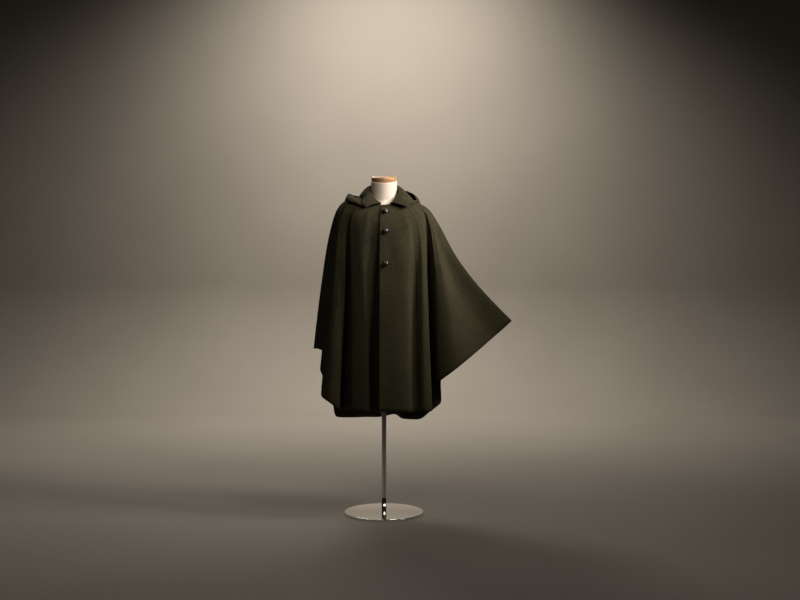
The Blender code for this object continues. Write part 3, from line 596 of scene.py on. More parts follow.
def cloth_piece(name, points, normals, look, sides, wall=WALL, cut=None, replaces=()):
    """A sheet of cloth as a closed wall with rounded edges.

    The outer face is the grid of points and the inner face is that grid moved in by the
    wall. Between them each free edge bulges out by a share of the wall. cut is the first of
    two columns beside a slit, which share the points where the slit is shut.
    """
    columns, rows = points.shape[:2]
    number = np.arange(columns * rows).reshape(columns, rows)
    strips = np.arange(columns - 1)
    if cut is not None:
        shut = np.linalg.norm(points[cut + 1] - points[cut], axis=1) < MERGE
        number[cut + 1, shut] = number[cut, shut]
        strips = np.delete(strips, cut)
    quads = np.stack([number[strips, :-1], number[strips, 1:], number[strips + 1, 1:],
                      number[strips + 1, :-1]], axis=-1).reshape(-1, 4)
    used, quads = np.unique(quads, return_inverse=True)
    quads = quads.reshape(-1, 4)
    outer, facing = points.reshape(-1, 3)[used], normals.reshape(-1, 3)[used]
    count = len(outer)
    ahead = np.concatenate([quads[:, [k, (k + 1) % 4]] for k in range(4)])
    border = ahead[~np.isin(ahead[:, 0] * count + ahead[:, 1], ahead[:, 1] * count + ahead[:, 0])]
    along = outer[border[:, 1]] - outer[border[:, 0]]
    along /= np.linalg.norm(along, axis=1, keepdims=True)
    outward = np.zeros_like(outer)
    for end in (0, 1):
        np.add.at(outward, border[:, end], np.cross(along, facing[border[:, end]]))
    rim = np.unique(border)
    outward = outward[rim] / np.linalg.norm(outward[rim], axis=1, keepdims=True)
    middle = outer[rim] - facing[rim] * wall / 2 + outward * wall * EDGE_BULGE
    start, end = border[:, 0], border[:, 1]
    mid_start = 2 * count + np.searchsorted(rim, start)
    mid_end = 2 * count + np.searchsorted(rim, end)
    faces = np.vstack([
        quads,
        quads[:, ::-1] + count,
        np.stack([end, start, mid_start, mid_end], axis=1),
        np.stack([mid_end, mid_start, start + count, end + count], axis=1),
    ])
    piece = new_piece(name, np.vstack([outer, outer - facing * wall, middle]), faces.tolist(),
                      look, replaces)
    layers = [layer.ravel()[used] for layer in (edge_distances(points, sides),
                                                arc_lengths(points, 0), arc_lengths(points, 1))]
    set_cloth_layers(piece, *(np.concatenate([layer, layer, layer[rim]]) for layer in layers))
    return piece


def fold_columns(start, end, cell, slit_u=None):
    """Places round the body: one on each rib, and the others about a cell apart low on the cape."""
    marks = []
    for rib in range(start, end):
        chord = np.linalg.norm(cape_place(rib + 1, CELL_V) - cape_place(rib, CELL_V))
        count = max(LEAST_CELLS, math.ceil(chord / cell))
        marks.append(np.linspace(rib, rib + 1, count, endpoint=False))
    u = np.concatenate(marks + [[end]])
    if slit_u is None:
        return u
    near = np.abs(u - slit_u) < SLIT_COLUMN_CLEAR * np.diff(u).max()
    return np.sort(np.concatenate([u[~near], [slit_u, slit_u]]))


def opened_at_slit(u, v, slit_u, first, last):
    """Move the columns aside along the cape, so that the slit parts like a lens.

    Each side goes half the slit's width at its middle, fading to nothing at its ends, and
    the push dies away over a few centimetres of cloth.
    """
    column = int(np.argmin(abs(u - slit_u)))
    side = np.where(np.arange(len(u)) <= column, -1.0, 1.0)[:, None]
    share = np.clip((v - first) / (last - first), 0, 1)[None]
    apart = SLIT_WIDTH / 2 * np.sin(np.pi * share)
    per_metre = rib_speed(slit_u, v)
    away = np.abs(u - slit_u)[:, None]
    pushed = away + per_metre * apart * np.exp(-away / per_metre / SLIT_EASE)
    return slit_u + side * pushed, column


def creased(u, v):
    """Soft unevenness of the hung cloth, as a move along the normal.

    It is a sum of slow sine waves, which fades out at the neck and the hem.
    """
    reach = np.sin(np.pi * np.clip(v, 0, 1))
    waves = sum(share * np.sin(across * u + down * v + phase) for share, across, down, phase in CREASES)
    return CREASE_HEIGHT * reach * waves


def hung(u, v, lift):
    """Places on the hung cloth moved out by a lift, one for each pair u, v, and their normals."""
    points, normals = cape_frame(u, v)
    return points + normals * (creased(u, v) + lift)[..., None], normals


def edge_rows(points, normals, sides, stitched):
    """Stitching lines inside the stitched sides, each cut back where it meets a finished side."""
    inset = bpy.context.scene.cape_cloth.stitch_inset
    return [inset_line(points, normals, side, inset, [other in sides for other in CORNERS[side]])
            for side in stitched]


def cape_panel(panel, look, thread):
    """One panel of the cape, as a fine sheet between two ribs, with its top stitching."""
    v = np.linspace(0.0, 1.0, PANEL_ROWS)
    u = fold_columns(panel.start, panel.end, panel.cell, panel.slit_u)
    places = np.broadcast_to(u[:, None], (len(u), len(v)))
    cut = None
    if panel.slit_u is not None:
        places, cut = opened_at_slit(u, v, panel.slit_u, panel.slit_first, panel.slit_last)
        places = np.clip(places, panel.start, panel.end)
    points, normals = hung(places, v[None], 0.0)
    points = part_at_seam(points, *panel.seams)
    piece = cloth_piece(panel.name + "_cloth", points, normals, look, panel.sides, cut=cut,
                        replaces=(panel.name,))
    rows = edge_rows(points, normals, panel.sides, panel.sides)
    stitches = stitching(panel.name + "_stitches", rows, thread)


def folded_sheet(name, points, normals, sides, stitched, look, thread):
    """A fine folded sheet in place of the node of its name, with top stitching along some sides."""
    piece = cloth_piece(name + "_cloth", points, normals, look, sides, replaces=(name,))
    rows = edge_rows(points, normals, sides, stitched)
    stitches = [stitching(name + "_stitches", rows, thread)] if rows else []


def collar_pieces(look, thread):
    """The collar's fall and stand as fine sheets."""
    last = len(COLLAR) - 1
    along = np.linspace(0, last, last * COLLAR_CELLS + 1)
    points, normals = with_normals(collar_fall, along, np.linspace(0, 1, FALL_ROWS))
    sides = ("first", "last", "bottom")
    folded_sheet("collar_fall", points, normals, sides, sides, look, thread)
    points, normals = with_normals(collar_stand, along, np.linspace(0, 1, STAND_ROWS))
    folded_sheet("collar_stand", points, normals, ("first", "last"), (), look, thread)


def hood_pieces(look, thread):
    """The two halves of the hood as fine sheets."""
    last = len(HOOD) - 1
    for name, start, end, seams, sides in (
        ("hood_left", 0, HOOD_CENTRE, (False, True), ("first", "bottom")),
        ("hood_right", HOOD_CENTRE, last, (True, False), ("last", "bottom")),
    ):
        along = np.linspace(start, end, (end - start) * HOOD_CELLS + 1)
        points, normals = with_normals(hood_cloth, along, np.linspace(0, 1, HOOD_ROWS))
        points = part_at_seam(points, *seams)
        seam = "last" if seams[1] else "first"
        folded_sheet(name, points, normals, sides + (seam,), ("bottom", seam), look, thread)


def welt_grid(slit_u, first, last):
    """A strip beside an arm slit: the cape's own places from the slit's edge back by the welt's
    width, moved out from the cloth under it."""
    v = np.linspace(first, last, WELT_ROWS)
    reach = SLIT_WIDTH / 2 + SEAM_GAP + np.linspace(0, WELT_WIDTH, WELT_COLUMNS)
    u = (slit_u - rib_speed(slit_u, v)[None] * reach[:, None])[::-1]
    return hung(u, np.broadcast_to(v, u.shape), WELT_WALL + WELT_GAP)


def welt_piece(panel, look, thread):
    """The welt of a panel's arm slit as a fine sheet, stitched all round."""
    points, normals = welt_grid(panel.slit_u, panel.slit_first, panel.slit_last)
    sides = ("top", "bottom", "first", "last")
    piece = cloth_piece(panel.welt + "_cloth", points, normals, look, sides, WELT_WALL,
                        replaces=(panel.welt,))
    rows = [inset_line(points, normals, side, WELT_INSET, (True, True)) for side in sides]
    stitches = stitching(panel.welt + "_stitches", rows, thread)


def turned_grid(outline, sides):
    """Points and quads of an outline of (radius, height) turned about Z, first point to last."""
    radius, height = np.array(outline).T
    turn = np.linspace(0, math.tau, sides, endpoint=False)
    points = np.stack([radius[:, None] * np.cos(turn), radius[:, None] * np.sin(turn),
                       np.broadcast_to(height[:, None], (len(radius), sides))], axis=-1)
    number = np.arange(len(radius) * sides).reshape(len(radius), sides)
    return points.reshape(-1, 3), ring_quads(number)


def closed_ends(quads, count, sides):
    """Faces of a solid of rings: its quads, and a flat on its first ring and on its last."""
    return quads.tolist() + [list(range(sides))[::-1], list(range(count - sides, count))]


def turned_piece(name, outline, sides, look, replaces, place=None):
    """A closed solid turned about Z, with a flat on each end of its outline."""
    points, quads = turned_grid(outline, sides)
    faces = closed_ends(quads, len(points), sides)
    if place is not None:
        points = place(points)
    new_piece(name, points, faces, look, replaces)


def rounded_outline(radius, thick, rounding, top_rounding):
    """Half outline of a disc, from its underside round its rim to its top."""
    outline = [(radius * DISC_HUB, 0.0)]
    for centre_z, size, start in ((rounding, rounding, -90), (thick - top_rounding, top_rounding, 0)):
        for step in range(DISC_ROUND_STEPS + 1):
            turn = math.radians(start + 90 * step / DISC_ROUND_STEPS)
            outline.append((radius - size + size * math.cos(turn), centre_z + size * math.sin(turn)))
    outline.append((radius * DISC_HUB, thick))
    return outline


def form_piece(look):
    """The dress form, as its level sections joined smoothly.

    The rows' numbers are read smoothly up the form. A section is a rounded square of
    x = half_width sin^p and y = depth cos^p, which tilts with the neck above the shoulders.
    """
    last = len(FORM) - 1
    at = np.linspace(0, last, last * FORM_STEPS + 1)
    row = FormRow(*(curve_between(column[:, None], at)[:, 0] for column in np.array(FORM).T))
    turn = np.linspace(0, math.tau, FORM_SIDES, endpoint=False)
    side, ahead = np.sin(turn)[None], np.cos(turn)[None]
    depth = np.where(ahead > 0, row.front[:, None], row.back[:, None])
    power = 2 / row.square[:, None]
    x = row.half_width[:, None] * np.sign(side) * abs(side)**power
    y = -depth * np.sign(ahead) * abs(ahead)**power
    share = np.clip((row.z - TILT_START_Z) / (FORM[-1].z - TILT_START_Z), 0, None)[:, None]
    z = row.z[:, None] + y * math.tan(NECK_TILT) * share
    points = np.stack([x, y, z], axis=-1).reshape(-1, 3)
    number = np.arange(len(points)).reshape(len(at), FORM_SIDES)
    faces = closed_ends(ring_quads(number), len(points), FORM_SIDES)
    new_piece("form_cover", points, faces, look, ("dress_form",))


def tilted_cap(points):
    """Move a solid turned about Z onto the slanted top of the neck."""
    cosine, sine = math.cos(NECK_TILT), math.sin(NECK_TILT)
    x, y, z = points.T
    z = z + CONTACT_GAP
    return np.stack([x, y * cosine - z * sine, y * sine + z * cosine + FORM[-1].z], axis=1)


def plaited(points):
    """Height of woven leather strands on a button, 0 to 1.

    The face is laid out in square cells. Strands cross over and under in a chequer, and each
    one is a rounded ridge that dives at the ends of its cell.
    """
    a = (points[:, 0] + points[:, 1]) / math.sqrt(2) / BUTTON_STRAND + 0.5
    b = (points[:, 0] - points[:, 1]) / math.sqrt(2) / BUTTON_STRAND + 0.5
    even = (np.floor(a) + np.floor(b)) % 2 == 0
    across = np.where(even, a - np.floor(a), b - np.floor(b)) * 2 - 1
    along = np.where(even, b - np.floor(b), a - np.floor(a)) * 2 - 1
    return np.sqrt(np.clip(1 - across**2, 0, 1)) * (1 - STRAND_DIVE * along**2)


def button_piece(number, u, v, look, settings):
    """A plaited leather button on its short shank, square to the cloth.

    Its outline is turned about Z, and its face is moved out from the button's middle by the
    height of the strands.
    """
    head = curve_between(np.array(BUTTON_HEAD), np.linspace(0, len(BUTTON_HEAD) - 1, BUTTON_STEPS))
    head[:, 0] = np.maximum(head[:, 0], BUTTON_HUB)
    points, quads = turned_grid(np.concatenate([BUTTON_SHANK, head]), BUTTON_SIDES)
    faces = closed_ends(quads, len(points), BUTTON_SIDES)
    out = points - (0, 0, BUTTON_MIDDLE)
    out /= np.linalg.norm(out, axis=1, keepdims=True)
    face = np.clip((points[:, 2] - PLAIT_START) / PLAIT_FADE, 0, 1)
    strand = plaited(points)
    points = points + out * (settings.plait_height * (strand - STRAND_LEVEL) * face)[:, None]
    place, normal = hung(np.array(u), np.array(v), BUTTON_LIFT)
    turn = np.array(Vector(normal).to_track_quat("Z", "Y").to_matrix())
    points = points @ turn.T + place
    piece = new_piece(f"leather_button_{number}", points, faces, look, (f"button_{number}",))
    # The strand heights feed the leather's painted shade in the dives
    layer = piece.data.attributes.new("strand", "FLOAT", "POINT")
    layer.data.foreach_set("value", (strand * face + 1 - face).astype(np.float32))


def grains(path, normals, length):
    """Stitches along a path: each is a spindle, thin at its ends, laid on the cloth.

    path and normals hold each stitch's middle and normal, and length its vector from end
    to end. Returns the points and faces of all the spindles.
    """
    ring_at, ring_radius = np.array(STITCH_RINGS), np.array(STITCH_SHARES) * THREAD_RADIUS
    turn = np.linspace(0, math.tau, STITCH_SIDES, endpoint=False)
    forward = length / np.linalg.norm(length, axis=1, keepdims=True)
    beside = np.cross(forward, normals)
    centre = path[:, None] + length[:, None] * ring_at[None, :, None]
    swing = (beside[:, None, None] * np.cos(turn)[None, None, :, None]
             + normals[:, None, None] * np.sin(turn)[None, None, :, None])
    points = centre[:, :, None] + swing * ring_radius[None, :, None, None]
    number = np.arange(points[..., 0].size).reshape(points.shape[:3])
    ends = np.concatenate([number[:, 0, ::-1], number[:, -1]])
    return points.reshape(-1, 3), ring_quads(number)[:, ::-1].tolist() + ends[:, ::-1].tolist()


def read_along(far, values, at):
    """Rows of values read at distances, where far holds each row's own distance."""
    return np.stack([np.interp(at, far, column) for column in values.T], axis=1)


def stitch_row(points, normals, pitch, length):
    """Middles, normals and vectors of stitches spaced evenly along a line of points."""
    far = arc_lengths(points, 0)
    at = (np.arange(int(far[-1] / pitch)) + 0.5) * pitch
    middle, before, after = (read_along(far, points, at + move) for move in (0, -length / 2, length / 2))
    up = read_along(far, normals, at)
    return middle, up / np.linalg.norm(up, axis=1, keepdims=True), after - before


def inset_line(points, normals, side, inset, trim):
    """The line of a grid's points at a distance in from one of its sides.

    Each row or column is read at that arc length, and the line is cut back by the same
    distance at each end that trim marks, where it meets another finished edge.
    """
    if side in ("first", "last"):
        points, normals = points.transpose(1, 0, 2), normals.transpose(1, 0, 2)
    if side in ("first", "top"):
        points, normals = points[:, ::-1], normals[:, ::-1]
    far = arc_lengths(points, 1)
    wanted = far[:, -1] - inset
    place = np.clip((far < wanted[:, None]).sum(axis=1) - 1, 0, far.shape[1] - 2)
    line = np.arange(len(far))
    low, high = far[line, place], far[line, place + 1]
    share = np.clip((wanted - low) / (high - low), 0, 1)[:, None]
    path = points[line, place] * (1 - share) + points[line, place + 1] * share
    up = normals[line, place]
    along = arc_lengths(path, 0)
    kept = (along >= inset * trim[0]) & (along <= along[-1] - inset * trim[1])
    return path[kept], up[kept]


def stitching(name, rows, look):
    """A piece of all the stitches along rows, a list of (points, normals) lines."""
    cloth = bpy.context.scene.cape_cloth
    runs = [stitch_row(path, up, cloth.stitch_pitch, cloth.stitch_length) for path, up in rows]
    middle, up, length = (np.concatenate(parts) for parts in zip(*runs))
    points, faces = grains(middle + up * THREAD_LIFT, up, length)
    return new_piece(name, points, faces, look)


def local_cape(u, v, x, y, lift):
    """Places on the cape x metres round the body and y metres down from u, v, moved out by lift."""
    here = cape_place(u, v)
    across = np.linalg.norm(cape_place(u + SMALL_STEP, v) - here) / SMALL_STEP
    down = np.linalg.norm(cape_place(u, v + SMALL_STEP) - here) / SMALL_STEP
    return hung(u + np.asarray(x) / across, v + np.asarray(y) / down, lift)[0]


def hole_sag(share):
    """How far a buttonhole's middle line hangs down, at shares -1 to 1 of its half length."""
    return HOLE_SAG * (1 - share**2) + HOLE_TILT * share


def buttonhole_cord(name, u, v, shift, look):
    """The cord of stitches worked round a buttonhole.

    Its middle line is a long oval that sags a little, and its radius rises and falls once for
    each stitch over it.
    """
    turn = np.linspace(0, math.tau, HOLE_CORD_STEPS, endpoint=False)
    half = HOLE_LENGTH / 2
    x = shift + half * np.sign(np.cos(turn)) * abs(np.cos(turn))**HOLE_END_SHAPE
    y = (HOLE_SLOT + HOLE_CORD * HOLE_CORD_OUT) * np.sin(turn) + hole_sag((x - shift) / half)
    side_x, side_y = np.gradient(y), -np.gradient(x)
    size = np.hypot(side_x, side_y)
    around = np.linspace(0, math.tau, HOLE_CORD_SIDES, endpoint=False)
    radius = HOLE_CORD * (1 + PURL_DEPTH * np.cos(PURLS * turn))[:, None]
    xs = x[:, None] + radius * np.cos(around) * (side_x / size)[:, None]
    ys = y[:, None] + radius * np.cos(around) * (side_y / size)[:, None]
    points = local_cape(u, v, xs, ys, radius * np.sin(around) + HOLE_CORD_LIFT)
    number = np.arange(xs.size).reshape(xs.shape)
    quads = ring_quads(np.vstack([number, number[:1]]))
    new_piece(name, points.reshape(-1, 3), quads.tolist(), look)


def painted_buttonhole_shadow(name, u, v, shift, look):
    """Painted shade in a buttonhole's slot: a dark strip along its middle line, as wide as an ellipse,
    laid just over the cloth, which has no hole under it.
    """
    along = np.linspace(-1, 1, HOLE_SLOT_STEPS)
    middle = hole_sag(along)
    width = HOLE_SLOT * np.sqrt(np.clip(1 - along**2, 0, 1))
    xs = np.stack([shift + HOLE_LENGTH / 2 * along] * 2, axis=1)
    ys = np.stack([middle - width, middle + width], axis=1)
    points = local_cape(u, v, xs, ys, np.full(xs.shape, HOLE_SLOT_LIFT))
    upper, lower = np.arange(xs.size).reshape(xs.shape).T
    quads = np.stack([upper[:-1], lower[:-1], lower[1:], upper[1:]], axis=-1)
    new_piece(name, points.reshape(-1, 3), quads.tolist(), look)


def add_node(tree, kind, inputs=(), **settings):
    """A shader node with its settings, and its inputs as numbers or links, by name or place."""
    node = tree.nodes.new(kind)
    for name, value in settings.items():
        setattr(node, name, value)
    for name, value in dict(inputs).items():
        if isinstance(value, bpy.types.NodeSocket):
            tree.links.new(value, node.inputs[name])
        else:
            node.inputs[name].default_value = value
    return node


def new_look(name, roughness, metallic=0.0, **sockets):
    """A Principled material, and the place on the piece that its textures read.

    The values that are the same all over are set on the shader's own sockets.
    """
    look = bpy.data.materials.new(name)
    look.use_nodes = True
    tree = look.node_tree
    shader = tree.nodes["Principled BSDF"]
    shader.inputs["Roughness"].default_value = roughness
    shader.inputs["Metallic"].default_value = metallic
    for socket, value in sockets.items():
        shader.inputs[socket.replace("_", " ")].default_value = value
    place = add_node(tree, "ShaderNodeTexCoord").outputs["Object"]
    return look, tree, shader, place


def noise(tree, vector, scale, detail=2.0, roughness=0.5):
    """The height of a noise texture read at a vector."""
    return add_node(tree, "ShaderNodeTexNoise", {"Vector": vector, "Scale": scale, "Detail": detail,
                                                  "Roughness": roughness}).outputs["Fac"]


def ramp(tree, factor, stops):
    """A colour ramp with the given (place, colour) stops."""
    node = add_node(tree, "ShaderNodeValToRGB", {"Fac": factor})
    elements = node.color_ramp.elements
    while len(elements) < len(stops):
        elements.new(0.5)
    for element, (place, colour) in zip(elements, stops):
        element.position = place
        element.color = (*colour, 1.0)
    return node.outputs["Color"]


def grey_ramp(tree, factor, *stops):
    """A ramp of greys with the given (place, brightness) stops."""
    return ramp(tree, factor, [(place, (level,) * 3) for place, level in stops])


def tinted(colour, factors=(1.0, 1.0, 1.0)):
    """A colour with full opacity, each of its channels times its own factor."""
    return (*(channel * factor for channel, factor in zip(colour, factors)), 1.0)


def mixed(tree, factor, low, high, blend="MIX"):
    """Two colours mixed by a factor."""
    node = add_node(tree, "ShaderNodeMix", {0: factor, 6: low, 7: high}, data_type="RGBA",
                    blend_type=blend)
    return node.outputs[2]


def multiplied(tree, first, second):
    """The product of two colours."""
    return mixed(tree, 1.0, first, second, "MULTIPLY")


def stretched(tree, vector, scale):
    """A vector with each of its parts scaled, which draws a texture out."""
    return add_node(tree, "ShaderNodeMapping", {"Vector": vector, "Scale": scale}).outputs[0]


def combined(tree, operation, first, second, third=None):
    """The result of a Math node."""
    inputs = {0: first, 1: second} if third is None else {0: first, 1: second, 2: third}
    return add_node(tree, "ShaderNodeMath", inputs, operation=operation).outputs[0]


def bump(tree, shader, height, distance, strength=1.0):
    """Put a bump on the shader."""
    node = add_node(tree, "ShaderNodeBump", {"Height": height, "Distance": distance,
                                             "Strength": strength})
    tree.links.new(node.outputs["Normal"], shader.inputs["Normal"])


def wool_look(cloth):
    """Thick fulled wool: flecked olive, a short nap running down the cloth, pressed edge seams."""
    look, tree, shader, place = new_look(
        "Olive wool", 0.95, Sheen_Weight=0.02, Sheen_Roughness=0.5,
        Sheen_Tint=(0.55, 0.50, 0.36, 1.0), Specular_IOR_Level=0.15)
    flat = add_node(tree, "ShaderNodeUVMap", uv_map="cloth").outputs["UV"]
    nap = stretched(tree, flat, NAP_SCALE)
    patchy = grey_ramp(tree, noise(tree, place, 9.0, 3.0), (0.35, 0.90), (0.65, 1.08))
    spots = grey_ramp(tree, noise(tree, place, 150.0, 3.0, 0.6), (0.38, 0), (0.62, 1))
    hairs = grey_ramp(tree, noise(tree, nap, 1.0, 3.0, 0.65), (0.54, 0), (0.72, 1))
    mottled = mixed(tree, spots, tinted(cloth.wool_colour, (0.55,) * 3), tinted(cloth.wool_colour))
    colour = multiplied(tree, mixed(tree, hairs, mottled, tinted(cloth.fleck_colour)), patchy)
    tree.links.new(colour, shader.inputs["Base Color"])
    edge = add_node(tree, "ShaderNodeAttribute", attribute_name="edge").outputs["Fac"]
    off_seam = combined(tree, "ABSOLUTE", combined(tree, "SUBTRACT", edge, cloth.stitch_inset), 0.0)
    groove = add_node(tree, "ShaderNodeMapRange", {0: off_seam, 1: 0.0, 2: SEAM_GROOVE, 3: 0.0, 4: 1.0},
                      interpolation_type="SMOOTHSTEP").outputs[0]
    height = combined(tree, "MULTIPLY_ADD", noise(tree, place, 700.0, 2.0), 0.35, groove)
    height = combined(tree, "MULTIPLY_ADD", noise(tree, nap, 1.0, 2.0), 0.35, height)
    height = combined(tree, "MULTIPLY_ADD", noise(tree, place, 60.0, 2.0), 0.35, height)
    bump(tree, shader, height, 0.0007, 0.7)
    return look


def thread_look(cloth):
    """Sewing thread: the wool's colour, a little smoother, with a twist."""
    look, tree, shader, place = new_look("Thread", 0.6)
    tone = noise(tree, place, 1800.0, 1.0)
    low, high = (tinted(cloth.wool_colour, (factor,) * 3) for factor in (0.6, 1.5))
    tree.links.new(mixed(tree, tone, low, high), shader.inputs["Base Color"])
    bump(tree, shader, tone, 0.0002)
    return look


def slot_shadow_look():
    """Painted shade for the inside of a buttonhole: near-black, a little uneven."""
    look, tree, shader, place = new_look("Buttonhole shadow", 1.0, Specular_IOR_Level=0.0)
    tone = ramp(tree, noise(tree, place, 900.0),
                [(0.3, (0.0008, 0.0007, 0.0004)), (0.7, (0.003, 0.0026, 0.0015))])
    tree.links.new(tone, shader.inputs["Base Color"])
    return look


def leather_look(settings):
    """Polished leather strands: fine grain, with painted shade where one strand dives under the next."""
    look, tree, shader, place = new_look("Brown leather", 0.3, Coat_Weight=0.5, Coat_Roughness=0.12)
    cells = add_node(tree, "ShaderNodeTexVoronoi", {"Vector": place, "Scale": 2600.0})
    grain = cells.outputs["Distance"]
    tone = grey_ramp(tree, noise(tree, place, 420.0, 2.0), (0.3, 0.6), (0.7, 1.15))
    strand = add_node(tree, "ShaderNodeAttribute", attribute_name="strand").outputs["Fac"]
    # Painted shade: the face is darkened where a strand dives under the next
    dive_shade = grey_ramp(tree, strand, (0.15, 0.12), (0.75, 1.0))
    colour = multiplied(tree, multiplied(tree, tinted(settings.leather_colour), tone), dive_shade)
    tree.links.new(colour, shader.inputs["Base Color"])
    tree.links.new(combined(tree, "MULTIPLY_ADD", grain, 0.12, 0.2), shader.inputs["Roughness"])
    bump(tree, shader, grain, 0.0001, 0.6)
    return look


def jersey_look(settings):
    """Smooth cream jersey: fine level rows of knitting, with a little unevenness."""
    look, tree, shader, place = new_look("Cream jersey", 0.75, Sheen_Weight=0.15, Sheen_Roughness=0.5)
    rows = add_node(tree, "ShaderNodeTexWave", {"Vector": place, "Scale": 210.0, "Distortion": 1.2,
                                                "Detail Scale": 2.5}, bands_direction="Z").outputs["Fac"]
    tone = grey_ramp(tree, noise(tree, place, 22.0, 4.0), (0.3, 0.94), (0.7, 1.0))
    tree.links.new(multiplied(tree, tinted(settings.jersey_colour), tone), shader.inputs["Base Color"])
    height = combined(tree, "MULTIPLY_ADD", noise(tree, place, 900.0), 0.5, rows)
    bump(tree, shader, height, 0.00015, 0.5)
    return look


def beech_look(settings):
    """Lacquered beech: straight grain with short dark flecks."""
    look, tree, shader, place = new_look("Beech", 0.42, Coat_Weight=0.3, Coat_Roughness=0.18)
    bands = noise(tree, stretched(tree, place, (6.0, 70.0, 70.0)), 1.0, 4.0, 0.55)
    fine = noise(tree, stretched(tree, place, (110.0, 900.0, 900.0)), 1.0, 1.0)
    grain = mixed(tree, bands, tinted(settings.beech_colour, (0.70, 0.62, 0.52)),
                  tinted(settings.beech_colour, (1.22,) * 3))
    flecks = ramp(tree, fine, [(0.60, (1.0, 1.0, 1.0)), (0.72, (0.72, 0.66, 0.58))])
    tree.links.new(multiplied(tree, grain, flecks), shader.inputs["Base Color"])
    bump(tree, shader, bands, 0.0002, 0.4)
    return look


def chrome_look():
    """Chrome plate with faint smears from handling."""
    look, tree, shader, place = new_look("Chrome", 0.1, 1.0, Base_Color=(0.80, 0.79, 0.77, 1.0))
    smear = noise(tree, place, 24.0, 5.0, 0.6)
    tree.links.new(combined(tree, "MULTIPLY_ADD", smear, 0.16, 0.03), shader.inputs["Roughness"])
    bump(tree, shader, noise(tree, place, 320.0, 2.0), 0.00003, 0.3)
    return look


def backdrop_look(stage):
    """Painted studio floor and wall, a little uneven."""
    look, tree, shader, place = new_look("Studio paint", 0.85, Specular_IOR_Level=0.2)
    tone = grey_ramp(tree, noise(tree, place, 1.1, 3.0), (0.3, 0.96), (0.7, 1.03))
    tree.links.new(multiplied(tree, tinted(stage.floor_colour), tone), shader.inputs["Base Color"])
    return look


def backdrop(look):
    """Floor and back wall in one sheet: a straight floor, a quarter turn, a straight wall."""
    turn = np.linspace(0, math.pi / 2, SWEEP_STEPS + 1)
    x = np.array([-FLOOR_SIDE_X, FLOOR_SIDE_X])[:, None]
    y = np.concatenate([[FLOOR_FRONT_Y], SWEEP_Y + SWEEP_RADIUS * np.sin(turn), [WALL_Y]])
    z = np.concatenate([[0.0], SWEEP_RADIUS * (1 - np.cos(turn)), [WALL_TOP_Z]])
    points = np.stack(np.broadcast_arrays(x, y, z), axis=-1).reshape(-1, 3)
    left, right = np.arange(len(points)).reshape(2, len(y))
    quads = np.stack([left[:-1], right[:-1], right[1:], left[1:]], axis=-1)
    new_form("studio_backdrop", points, quads.tolist(), look)


def softbox(box, power):
    """A square area light turned to its aim, under a grid that narrows its spread."""
    light = bpy.data.lights.new(box.name, "AREA")
    light.shape = "SQUARE"
    light.size = box.width
    light.spread = math.radians(box.grid)
    light.energy = power
    light.color = box.colour
    lamp = bpy.data.objects.new(box.name, light)
    lamp.location = (box.x, box.y, box.z)
    away = Vector((box.aim_x, box.aim_y, box.aim_z)) - Vector((box.x, box.y, box.z))
    lamp.rotation_euler = away.to_track_quat("-Z", "Y").to_euler()
    bpy.context.scene.collection.objects.link(lamp)


def colour_setting(name, description, default):
    """A colour property in linear light."""
    return FloatVectorProperty(name=name, description=description, default=default, size=3,
                               min=0.0, max=1.0, subtype="COLOR")


def length_setting(name, description, default, least, most):
    """A length property between two limits."""
    return FloatProperty(name=name, description=description, default=default, min=least, max=most,
                         unit="LENGTH")


def power_setting(name, description, default):
    """A lamp's power property."""
    return FloatProperty(name=name, description=description, default=default, min=0.0, max=1000.0,
                         unit="POWER")


class ClothSettings(bpy.types.PropertyGroup):
    """Wool and stitching"""
    wool_colour: colour_setting("Wool", "Main colour of the cape's wool", (0.042, 0.0355, 0.0160))
    fleck_colour: colour_setting("Flecks", "Colour of the lighter hairs in the wool",
                                 (0.105, 0.088, 0.045))
    stitch_inset: length_setting("Stitch inset", "Distance of the top stitching from the edge",
                                 0.007, 0.002, 0.03)
    stitch_pitch: length_setting("Stitch pitch", "Distance from one stitch to the next",
                                 0.0048, 0.001, 0.02)
    stitch_length: length_setting("Stitch length", "Length of each stitch that shows",
                                  0.0034, 0.001, 0.02)


class TrimSettings(bpy.types.PropertyGroup):
    """Buttons"""
    leather_colour: colour_setting("Leather", "Colour of the plaited buttons", (0.030, 0.011, 0.006))
    plait_height: length_setting("Plait height", "Height of the strands on the buttons",
                                 0.0011, 0.0, 0.003)


class StandSettings(bpy.types.PropertyGroup):
    """Dress form and stand"""
    jersey_colour: colour_setting("Jersey", "Colour of the form's cover", (0.78, 0.64, 0.52))
    beech_colour: colour_setting("Beech", "Colour of the neck cap's wood", (0.56, 0.31, 0.145))
    round_sides: IntProperty(name="Sides", description="Flats round the pole, cap and base",
                             default=96, min=24, max=256)


class StageSettings(bpy.types.PropertyGroup):
    """Floor and lights"""
    floor_colour: colour_setting("Floor", "Colour of the floor and the wall behind",
                                 (0.22, 0.194, 0.160))
    key_power: power_setting("Key light", "Power of the main softbox", 14.0)
    side_power: power_setting("Side light", "Power of the narrow softbox on the chest", 5.5)
    fill_power: power_setting("Fill light", "Power of the weak softbox on the other side", 12.0)
    back_power: power_setting("Back light", "Power of the softbox behind the cape", 70.0)
    wall_power: power_setting("Wall light", "Power of the softbox on the wall behind", 170.0)


def shared_look(name, make):
    """The material of that name, made once."""
    return bpy.data.materials.get(name) or make()


def cloth_looks(cloth):
    """The wool and the thread, which several operators share."""
    return (shared_look("Olive wool", lambda: wool_look(cloth)),
            shared_look("Thread", lambda: thread_look(cloth)))


class CAPE_OT_panels(bpy.types.Operator):
    """Make the cape's three panels with their top stitching"""
    bl_idname = "cape.panels"
    bl_label = "Panels"

    def execute(self, context):
        looks = cloth_looks(context.scene.cape_cloth)
        for panel in PANELS:
            cape_panel(panel, *looks)
        return {"FINISHED"}


